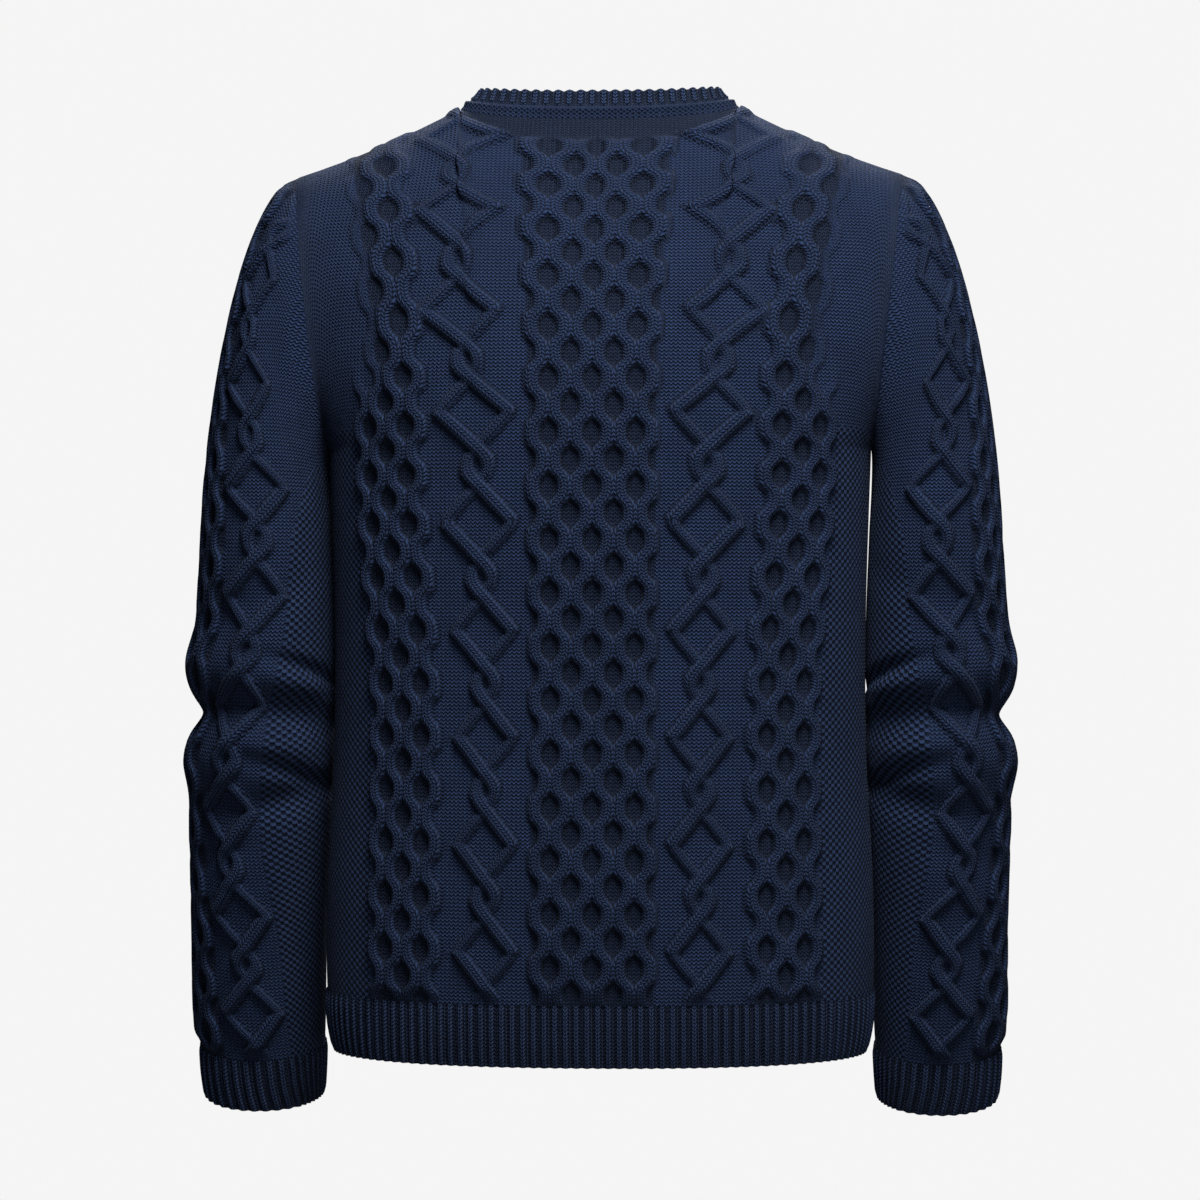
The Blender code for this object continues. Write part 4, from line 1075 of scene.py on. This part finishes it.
# height, angle from the outer line towards the back, reach in height, reach in angle, size, slant
elbowFolds = np.array([
    (-0.388, 0.2, 0.020, 1.5, 0.0060, 0.000),
    (-0.424, 0.1, 0.013, 1.2, -0.0090, 0.004),
    (-0.421, 1.9, 0.012, 0.9, -0.0085, -0.010),
    (-0.404, 2.3, 0.008, 0.8, 0.0040, -0.012),
    (-0.392, 2.3, 0.006, 0.7, -0.0060, -0.016),
    (-0.455, 0.5, 0.018, 1.4, 0.0048, 0.000),
    (-0.444, 1.7, 0.007, 0.6, 0.0035, -0.008),
    (-0.484, 1.9, 0.012, 0.8, -0.0075, 0.010),
    (-0.465, 2.2, 0.006, 0.7, -0.0055, -0.014),
    (-0.520, 1.2, 0.012, 0.7, -0.0025, 0.014),
    (-0.345, 1.5, 0.014, 0.8, -0.0030, 0.020),
    (-0.402, -1.7, 0.014, 1.0, -0.0070, 0.010),
    (-0.418, -1.2, 0.007, 0.6, 0.0030, 0.012),
    (-0.435, -1.7, 0.016, 1.0, 0.0045, 0.000),
    (-0.466, -1.6, 0.012, 1.0, -0.0060, -0.008),
    (-0.500, -1.1, 0.011, 0.6, -0.0028, -0.012),
])


def sleeveValue(row, index):
    return smoothTable(row, sleeveSections[:, 0], sleeveSections[:, index])


def sleeveRing(row, columns):
    height, outerX, innerX, middleY, halfDepth, tilt, shift = (sleeveValue(row, i) for i in range(1, 8))
    halfWidth = (outerX - innerX) / 2
    turn = np.linspace(0.0, math.pi, 121)
    outline = np.stack([halfWidth * np.cos(turn), halfDepth * np.sin(turn)], -1)
    total = alongLine(outline, 0.0)[1]
    toward = np.sign(columns)
    plainFrom = sleeve["plainFrom"]
    plain = np.clip((np.abs(columns) - plainFrom) / (sleeve["half"] - plainFrom), 0.0, 1.0)
    arc = toward * np.minimum(np.abs(columns), plainFrom) + shift
    arc = arc + toward * plain * (total - plainFrom - toward * shift)
    flat = alongLine(outline, np.abs(arc))[0]
    across, deep = flat[:, 0], np.sign(arc) * flat[:, 1]
    angle = np.arctan2(deep, across)
    lean = math.radians(tilt)
    fall = height - deep * math.sin(lean)
    fold = np.zeros(len(columns))
    for at, around, reach, spread, size, slant in elbowFolds:
        off = (angle - around + math.pi) % (2 * math.pi) - math.pi
        fold += size * np.exp(-((fall - at - slant * off) / reach) ** 2 - (off / spread) ** 2)
    innerSide = smoothStep(2.2, 2.9, np.abs(angle))
    fold = np.where(fold > 0, fold * (1 - innerSide), fold)
    x = (outerX + innerX) / 2 + across + fold * np.cos(angle)
    y = middleY + (deep + fold * np.sin(angle)) * math.cos(lean)
    return np.stack([x, y, fall], -1)


def armholeLoop(shareFromTop, toward):
    side = np.where(toward >= 0, 1, -1)
    found = np.empty((len(side), 3))
    for pick in (1, -1):
        dense = armholeEdge(pick, np.linspace(1.0, 0.0, 121))
        length = alongLine(dense, 0.0)[1]
        chosen = side == pick
        found[chosen] = alongLine(dense, shareFromTop[chosen] * length)[0]
    return found


def sleevePoints(row, columns):
    columns = np.asarray(columns, float)
    if row >= sleeve["capRow"]:
        return sleeveRing(row, columns)
    share = np.interp(np.abs(columns), [0.0, sleeve["plainFrom"], sleeve["half"]], [0.0, 0.46, 1.0])
    start = armholeLoop(share, columns)
    start[:, 0] += cloth["seamGap"] / 2
    end = sleeveRing(sleeve["capRow"], columns)
    toward = np.where(columns >= 0, 1.0, -1.0)
    pulls = np.stack([np.interp(share, capPulls[:, 0], capPulls[:, i]) for i in range(1, 7)], -1)
    pulls[:, [1, 4]] *= toward[:, None]
    t = np.full(len(columns), row / sleeve["capRow"])
    return bezier(start, start + pulls[:, :3], end + pulls[:, 3:], end, t)


cuffLean = math.radians(float(sleeveValue(sleeve["cuffRow"], 6)))
cuffAxis = np.array([0.0, -math.sin(cuffLean), -math.cos(cuffLean)])


def sleeveNormals(row, columns):
    stepK, stepR, half = 0.0008, 0.05, sleeve["half"]
    lowR, highR = max(row - stepR, 0.0), min(row + stepR, sleeveSections[-1, 0])
    ahead = (columns + stepK + half) % (2 * half) - half
    behind = (columns - stepK + half) % (2 * half) - half
    across = sleevePoints(row, ahead) - sleevePoints(row, behind)
    down = sleevePoints(highR, columns) - sleevePoints(lowR, columns)
    found = unit(np.cross(down, across))
    if row < 0.01:
        found -= np.maximum(found @ armholePlane, 0.0)[:, None] * armholePlane
    if abs(row - sleeve["cuffRow"]) < 0.01:
        found -= (found @ cuffAxis)[:, None] * cuffAxis
    return unit(found)


def sleeveFace(rows, columns, heights, ends, mirror):
    lines = []
    for row, line in zip(rows, heights):
        lines.append(sleevePoints(row, columns) + sleeveNormals(row, columns) * line[:, None])
    lines[0] += ends[0] * cuffAxis
    lines[-1] += ends[1] * cuffAxis
    face = np.array(lines)
    drift = sleeve["drift"] * smoothStep(-sleeve["driftFrom"], -sleeve["driftTo"], -face[..., 2])
    face[..., 0] = mirror * face[..., 0] + drift
    return face


def ringColumns(count):
    return np.linspace(-sleeve["half"], sleeve["half"], count + 1)[1:]


def closedMaps(maps, period):
    # adds the column that closes the ring, one period on
    found = {}
    for key, (u, v) in maps.items():
        found[key] = (np.concatenate([u, u[:, :1] + (period if key == "ground" else 0.0)], axis=1),
                      np.concatenate([v, v[:, :1]], axis=1))
    return found


def realSizes(columns, rows):
    # how far each grid point really lies from the outer line and from the cuff, on the plain cloth
    points = np.array([sleevePoints(row, columns[0]) for row in rows[:, 0]])
    across, down = realLengths(points, columns)
    down = (down[-1:] - down) / cloth["row"]
    capRow = sleeve["capRow"]
    ring = int(np.argmin(np.abs(rows[:, 0] - capRow)))
    onCap = rows < rows[ring, 0]
    steps = np.where(onCap, down - down[ring] + sleeve["cuffRow"] - rows[ring, 0], sleeve["cuffRow"] - rows)
    blend = 1 - smoothStep(capRow - 4.0, capRow + 1.0, rows)
    return columns + (across - columns) * blend, steps


def sleeveKnit(flatColumns, rows):
    strands = emptyStrands(flatColumns.shape)
    columns, steps = realSizes(flatColumns, rows)
    size = np.abs(columns)
    toward = np.where(columns < -0.045, -1.0, 1.0)
    ends = smoothStep(-0.1, 0.8, steps)
    addHoneycomb(strands, columns, steps, 0.0, -3, 3, ends)
    addDiamond(strands, size, steps, steps, sleeve["diamondAt"], ends)
    edgeFade = smoothStep(0.0, 1.6, rows)
    heights = strandHeights(strands) * edgeFade
    flat = np.abs(flatColumns)
    plainFrom = sleeve["plainFrom"]
    mossTop = np.interp(flat, (plainFrom, sleeve["half"]), (15.0, 2.0))
    moss = smoothStep(plainFrom - 0.001, plainFrom + 0.001, flat)
    moss = moss * smoothStep(mossTop - 0.3, mossTop + 0.3, rows)
    # the plain mask picks plain-stitch ground, and also paints shade in its hollows between the strands
    plain = (size < body["centreHalf"] + 0.001).astype(float)
    wales = flatColumns / (2 * sleeve["half"]) * sleeve["wales"]
    maps = {
        "ground": (wales, steps * cloth["row"] / cloth["course"]),
        **strandMaps(strands, toward, edgeFade),
        "kinds": (moss, plain),
    }
    return heights, maps


def sleevePiece(name, node, mirror):
    columns = ringColumns(int(round(2 * sleeve["half"] / cloth["grid"])))
    count = int(round(sleeve["cuffRow"] * cloth["row"] / cloth["grid"]))
    rows = np.linspace(0.0, sleeve["cuffRow"], count + 1)
    gridK, gridR = np.meshgrid(columns, rows)
    heights, maps = sleeveKnit(gridK, gridR)
    gap = cloth["seamGap"] / 2
    outer = sleeveFace(rows, columns, heights, (0.0, -gap), mirror)
    innerColumns = ringColumns(sleeve["innerColumns"])
    innerRows = np.linspace(0.0, sleeve["cuffRow"], cloth["innerRows"])
    innerK, innerR = np.meshgrid(innerColumns, innerRows)
    inner = sleeveFace(innerRows, innerColumns, np.full(innerK.shape, -cloth["wall"]), (0.0, -gap), mirror)
    period = float(sleeve["wales"])
    piece = shellPiece(name, outer, closedMaps(maps, period), inner,
                       closedMaps(plainMaps(innerK, innerR), period), True, cableWool)
    return standFor(piece, node)


def cuffPiece(name, node, mirror):
    columns = ringColumns(sleeve["cuffRibs"] * rib["samples"])
    rows = np.linspace(sleeve["cuffRow"], sleeveSections[-1, 0], sleeve["cuffRows"])
    gridK, gridR = np.meshgrid(columns, rows)
    turns = gridK / (2 * sleeve["half"]) * sleeve["cuffRibs"]
    past = gridR - sleeve["cuffRow"]
    inside = smoothStep(0.0, rib["endReach"], past) * (1 - smoothStep(1.8, 2.1, past))
    heights = ribProfile(turns, rib["valley"], rib["crest"]) * ribEnds(inside)
    gap = cloth["seamGap"] / 2
    outer = sleeveFace(rows, columns, heights, (gap, 0.0), mirror)
    innerColumns = ringColumns(sleeve["innerColumns"])
    innerRows = np.linspace(sleeve["cuffRow"], sleeveSections[-1, 0], rib["innerRows"])
    innerK, innerR = np.meshgrid(innerColumns, innerRows)
    inner = sleeveFace(innerRows, innerColumns, np.full(innerK.shape, -cloth["wall"]), (gap, 0.0), mirror)
    maps = closedMaps(ribMaps(turns, -gridR * cloth["row"]), 2.0 * sleeve["cuffRibs"])
    piece = shellPiece(name, outer, maps, inner, closedMaps(plainMaps(innerK, innerR), 0.0), True, ribWool)
    return standFor(piece, node)


sleeves, cuffs = {}, {}
for side, mirror in (("left", 1.0), ("right", -1.0)):
    sleeves[side] = sleevePiece("cable_sleeve_" + side, "sleeve_" + side, mirror)
    cuffs[side] = cuffPiece("rib_cuff_" + side, "cuff_" + side, mirror)
print("sleeves and cuffs made")


# Neckband: a groove and a linked ridge at its foot, then 1x1 rib up to a rounded edge
neckband = {
    "width": 0.023,
    "wall": 0.0045,
    "gap": 0.0003,
    "innerGap": 0.0015,
    "ribs": 68,
    "rows": 27,
    "foot": ((0.0, -0.0004), (0.0012, 0.0003), (0.0030, 0.0006), (0.0048, 0.0018), (0.0066, 0.0028),
             (0.0084, 0.0019), (0.0100, 0.0006), (0.0115, 0.0000), (0.0230, 0.0000)),
    "ribFrom": 0.0098,
    "edgeRound": 0.0022,
    "edgeDrop": 0.0017,
    "innerWidths": (0.0058, 0.0150, 0.0215),
    "innerSamples": 164,
    "endReach": 0.07,  # share of the loop over which the ends turn square to the button bands
}


def neckLoop(share):
    front, back = topLine(-1)[0], topLine(1)[0]
    frontEdge = float(np.interp(bandHalf, front[:, 0], np.linspace(0.0, 1.0, len(front))))
    keep = np.linspace(0.0, 1.0, len(front)) >= frontEdge
    first = np.array([bandHalf, np.interp(bandHalf, front[:, 0], front[:, 1]),
                      np.interp(bandHalf, front[:, 0], front[:, 2])])
    half = np.concatenate([first[None], front[keep], back[-2::-1]])
    whole = np.concatenate([half, (half * np.array([-1.0, 1.0, 1.0]))[-2::-1]])
    length = alongLine(whole, 0.0)[1]
    return alongLine(whole, np.asarray(share) * length)[0], length


def neckDirections(points):
    flat = neckOut(points)
    lean = neckBlend(flat, neckLean)
    return unit(np.stack([-flat[:, 0] * lean, -flat[:, 1] * lean, np.ones(len(points))], -1))


def neckFrame(share):
    points, length = neckLoop(share)
    tangent = unit(neckLoop(np.minimum(share + 0.002, 1.0))[0] - neckLoop(np.maximum(share - 0.002, 0.0))[0])
    seamOut = neckSeamNormal(points, tangent)
    rise = neckDirections(points)
    out = unit(np.cross(tangent, rise))
    out *= np.sign(dot(out, seamOut))[:, None]
    seamRise = np.cross(tangent, seamOut)
    seamRise *= np.sign(dot(seamRise, rise))[:, None]
    fromEnd = np.minimum(share, 1 - share) * length
    lift = np.where(share < 0.5, lapLift, -lapLift) * (1 - smoothStep(0.0, body["lapRamp"], fromEnd))
    return points, rise, out, seamRise, seamOut, lift[:, None], length


def neckbandPiece():
    share = np.linspace(0.0, 1.0, neckband["ribs"] * rib["samples"] + 1)
    points, rise, out, seamRise, seamOut, lift, length = neckFrame(share)
    turns = share * neckband["ribs"] + 0.5
    widths = np.linspace(0.0, neckband["width"], neckband["rows"])
    foot = np.array(neckband["foot"])
    lines = []
    for width in widths:
        turned = float(smoothStep(0.0, 0.004, width))
        ribShare = float(smoothStep(neckband["ribFrom"], neckband["ribFrom"] + 0.002, width))
        ribs = ribProfile(turns, rib["valley"], rib["crest"])
        height = smoothTable(width, foot[:, 0], foot[:, 1]) + ribShare * ribs
        rounded = max(0.0, width - neckband["width"] + neckband["edgeRound"]) / neckband["edgeRound"]
        height = (height - neckband["edgeDrop"] * rounded**2)[:, None]
        away = unit(seamOut * (1 - turned) + out * turned)
        line = points + seamRise * neckband["gap"] * (1 - turned) + rise * width + away * (lift + height)
        lines.append(line)
    outer = np.array(lines)
    plainShare = np.linspace(0.0, 1.0, neckband["innerSamples"])
    points, rise, out, seamRise, seamOut, lift, length = neckFrame(plainShare)
    depth = lift - neckband["wall"]
    lines = [points + seamRise * neckband["innerGap"] + seamOut * (lift - cloth["wall"])]
    lines += [points + rise * width + out * depth for width in neckband["innerWidths"]]
    lines.append(points + rise * neckband["width"] + out * (depth + 0.0015))
    inner = np.array(lines)
    for face, at in ((outer, share), (inner, plainShare)):
        for pick, sign, away in ((0, 1, at), (-1, -1, 1 - at)):
            shift = sign * (bandHalf + cloth["seamGap"] / 2) - face[:, pick:pick + 1 or None, 0]
            face[..., 0] += shift * (1 - smoothStep(0.0, neckband["endReach"], away))
        seam, _, _, above = neckFrame(at)[:4]
        short = neckband["gap"] - ((face - seam) * above).sum(-1)  # how far it is under the seam
        inFromEnd = smoothStep(0.002, 0.008, np.minimum(at, 1 - at) * length)
        face += above * (np.clip(short, 0.0, 0.004) * inFromEnd)[..., None]
    gridT, gridW = np.meshgrid(turns, widths)
    maps = ribMaps(gridT, gridW)
    isRib = smoothStep(neckband["ribFrom"], neckband["ribFrom"] + 0.001, gridW)
    # half the plain share over the foot, which also paints the hollow shade at half strength over the whole
    # foot
    maps["kinds"] = (np.zeros(gridT.shape), np.where(gridW < neckband["ribFrom"], 0.5, 1.0))
    maps["levels"] = (isRib, np.zeros(gridT.shape))
    innerT, innerW = np.meshgrid(plainShare * length, np.linspace(0.0, 1.3, 5))
    piece = shellPiece("rib_neckband", outer, maps, inner, plainMaps(innerT, innerW), False, ribWool)
    return standFor(piece, "neckband")


neckPiece = neckbandPiece()
print("neckband made")


# Button bands: ribs run up the front edge, the left band lies on top
band = {
    "ribs": 4,
    "samples": 10,
    "rows": 262,
    "crest": 0.0014,
}


def bandPath():
    rows = np.append(np.arange(hemRow, body["topRow"], 0.25), body["topRow"])
    middle = np.array([bodyPoints(-1, row, np.array([bandHalf]))[0] for row in rows])
    middle[:, 0] = 0.0
    rise = neckDirections(middle[-1:])[0]
    return np.concatenate([middle, (middle[-1] + rise * neckband["width"])[None]])


frontPath = bandPath()
frontLength = alongLine(frontPath, 0.0)[1]


def bandFrame(at):
    step = 0.006
    ahead = (alongLine(frontPath, np.minimum(at + step, frontLength))[0]
             - alongLine(frontPath, np.maximum(at - step, 0.0))[0])
    out = unit(np.stack([np.zeros(len(ahead)), -ahead[:, 2], ahead[:, 1]], -1))
    return alongLine(frontPath, at)[0], out


def bandPiece(name, node, lift, low, high):
    across = np.linspace(-bandHalf, bandHalf, band["ribs"] * band["samples"] + 1)
    at = np.linspace(0.0, frontLength, band["rows"])
    gridX, gridAt = np.meshgrid(across, at)
    turns = (gridX + bandHalf) / (2 * bandHalf) * band["ribs"] + 0.5
    heights = ribProfile(turns, low, high)
    points, out = bandFrame(at)
    outer = points[:, None] + out[:, None] * (lift + heights)[..., None]
    outer[..., 0] = gridX
    innerAcross, innerAt = np.linspace(-bandHalf, bandHalf, 5), np.linspace(0.0, frontLength, 80)
    innerX, innerL = np.meshgrid(innerAcross, innerAt)
    points, out = bandFrame(innerAt)
    inner = points[:, None] + out[:, None] * np.full(innerX.shape, lift + low - cloth["wall"])[..., None]
    inner[..., 0] = innerX
    piece = shellPiece(name, outer, ribMaps(turns, gridAt), inner,
                       plainMaps(innerX, innerL / cloth["row"]), False, ribWool)
    return standFor(piece, node)


bandLeft = bandPiece("rib_band_left", "button_band_left", lapLift, 0.0, band["crest"])
bandRight = bandPiece("rib_band_right", "button_band_right", -lapLift, -band["crest"], 0.0)
print("button bands made")


# Buttons: turned discs with a raised rim, four holes and two bars of thread
button = {
    "count": 7,
    "radius": 0.010,
    "thick": 0.0036,
    "margin": 0.020,
    "topMargin": 0.012,
    "holeRadius": 0.0011,
    "holeAt": 0.0024,
    "colour": (0.012, 0.017, 0.030, 1.0),
    "marble": (0.030, 0.042, 0.070, 1.0),
    "thread": (0.020, 0.031, 0.066, 1.0),
    "threadDark": (0.006, 0.010, 0.022, 1.0),
    "threadHalf": 0.00055,
    "standOff": 0.0017,  # from the band's valleys to the back of the button, clear of its crests
}


def makeResin():
    made = bpy.data.materials.new("button_resin_dark")
    made.use_nodes = True
    tree = made.node_tree
    shader = tree.nodes["Principled BSDF"]
    shader.inputs["Coat Weight"].default_value = 0.25
    shader.inputs["Coat Roughness"].default_value = 0.12
    place = tree.nodes.new("ShaderNodeTexCoord")
    swirl = tree.nodes.new("ShaderNodeTexNoise")
    swirl.inputs["Scale"].default_value = 160.0
    swirl.inputs["Distortion"].default_value = 2.5
    tree.links.new(place.outputs["Object"], swirl.inputs["Vector"])
    marbled = rampBetween(tree, swirl.outputs["Fac"], 0.42, 0.68)
    colour = mixColours(tree, marbled, button["colour"], button["marble"])
    tree.links.new(colour, shader.inputs["Base Color"])
    tree.links.new(rampBetween(tree, swirl.outputs["Fac"], 0.3, 0.7, 0.28, 0.42), shader.inputs["Roughness"])
    return made


def turnedDisc(mesh, outline, sides):
    rings = []
    for radius, height in outline:
        turns = 2 * math.pi * np.arange(sides if radius > 0 else 1) / sides
        rings.append([mesh.verts.new((radius * math.cos(a), radius * math.sin(a), height)) for a in turns])
    for low, high in zip(rings, rings[1:]):
        for i in range(sides):
            j = (i + 1) % sides
            if len(low) == 1:
                mesh.faces.new((low[0], high[i], high[j]))
            elif len(high) == 1:
                mesh.faces.new((low[i], low[j], high[0]))
            else:
                mesh.faces.new((low[i], low[j], high[j], high[i]))


def meshFrom(shape, name):
    bmesh.ops.recalc_face_normals(shape, faces=shape.faces[:])
    mesh = bpy.data.meshes.new(name)
    shape.to_mesh(mesh)
    shape.free()
    return mesh


def buttonMesh(resin, thread):
    radius, thick = button["radius"], button["thick"]
    outline = [(0.0, 0.0), (0.84, 0.0), (0.95, 0.12), (1.0, 0.42), (0.985, 0.72), (0.93, 0.94), (0.86, 1.0),
               (0.77, 0.97), (0.68, 0.82), (0.58, 0.70), (0.40, 0.64), (0.0, 0.62)]
    shape = bmesh.new()
    turnedDisc(shape, [(r * radius, h * thick) for r, h in outline], 48)
    disc = bpy.data.objects.new("button_blank", meshFrom(shape, "button_blank"))
    drill = bmesh.new()
    for turn in range(4):
        angle = math.pi / 4 + turn * math.pi / 2
        made = bmesh.ops.create_cone(drill, cap_ends=True, segments=16, radius1=button["holeRadius"],
                                     radius2=button["holeRadius"], depth=3 * thick)
        bmesh.ops.translate(drill, verts=made["verts"],
                            vec=(button["holeAt"] * math.cos(angle), button["holeAt"] * math.sin(angle), 0.0))
    cutter = bpy.data.objects.new("button_drill", meshFrom(drill, "button_drill"))
    for item in (disc, cutter):
        bpy.context.scene.collection.objects.link(item)
    cut = disc.modifiers.new("holes", "BOOLEAN")
    cut.operation = "DIFFERENCE"
    cut.object = cutter
    bpy.context.view_layer.update()
    mesh = bpy.data.meshes.new_from_object(disc.evaluated_get(bpy.context.evaluated_depsgraph_get()))
    for item in (disc, cutter):
        bpy.data.objects.remove(item)
    mesh.name = "button"
    shape = bmesh.new()
    shape.from_mesh(mesh)
    for face in shape.faces:
        face.material_index = 0
    reach = button["holeAt"] * math.sin(math.pi / 4)
    for side in (-1, 1):
        # a bar of thread between two holes, down into each of them
        path = [(-1.0, 0.0), (-1.0, 0.62), (-0.86, 0.80), (-0.4, 0.88), (0.0, 0.90), (0.4, 0.88),
                (0.86, 0.80), (1.0, 0.62), (1.0, 0.0)]
        rings = []
        for k, (x, z) in enumerate(path):
            before, after = path[max(k - 1, 0)], path[min(k + 1, len(path) - 1)]
            going = np.array([(after[0] - before[0]) * reach, 0.0, (after[1] - before[1]) * thick])
            going /= np.linalg.norm(going)
            across = np.array([0.0, 1.0, 0.0])
            upward = np.cross(going, across)
            centre = np.array([x * reach, side * reach, z * thick])
            wide, tall = button["threadHalf"] * 1.3 * across, button["threadHalf"] * upward
            rings.append([shape.verts.new(centre + (math.cos(a) * wide + math.sin(a) * tall))
                          for a in 2 * math.pi * np.arange(8) / 8])
        made = [shape.faces.new(rings[0]), shape.faces.new(rings[-1][::-1])]
        for low, high in zip(rings, rings[1:]):
            made += [shape.faces.new((low[i], low[(i + 1) % 8], high[(i + 1) % 8], high[i]))
                     for i in range(8)]
        for face in made:
            face.material_index = 1
    bmesh.ops.recalc_face_normals(shape, faces=shape.faces[:])
    shape.to_mesh(mesh)
    shape.free()
    mesh.shade_smooth()
    mesh.set_sharp_from_angle(angle=math.radians(40))
    mesh.materials.clear()
    mesh.materials.append(resin)
    mesh.materials.append(thread)
    return mesh


def makeThread():
    made = bpy.data.materials.new("button_thread")
    made.use_nodes = True
    tree = made.node_tree
    shader = tree.nodes["Principled BSDF"]
    shader.inputs["Roughness"].default_value = 0.8
    place = tree.nodes.new("ShaderNodeTexCoord")
    twist = tree.nodes.new("ShaderNodeTexWave")
    twist.inputs["Scale"].default_value = 900.0
    twist.bands_direction = "DIAGONAL"
    tree.links.new(place.outputs["Object"], twist.inputs["Vector"])
    colour = mixColours(tree, twist.outputs["Fac"], button["threadDark"], button["thread"])
    tree.links.new(colour, shader.inputs["Base Color"])
    return made


sharedButton = buttonMesh(makeResin(), makeThread())
spacing = (frontLength - button["margin"] - button["topMargin"]) / (button["count"] - 1)
for index in range(button["count"]):
    at = button["margin"] + index * spacing
    point, out = bandFrame(np.array([at]))
    piece = bpy.data.objects.new("turned_button_%d" % (index + 1), sharedButton)
    bpy.context.scene.collection.objects.link(piece)
    piece.location = point[0] + out[0] * (lapLift + button["standOff"] + cloth["seamGap"])
    piece.rotation_euler = (math.atan2(-out[0][1], out[0][2]), 0.0, 0.0)
    standFor(piece, "button_%d" % (index + 1))
print("buttons made")
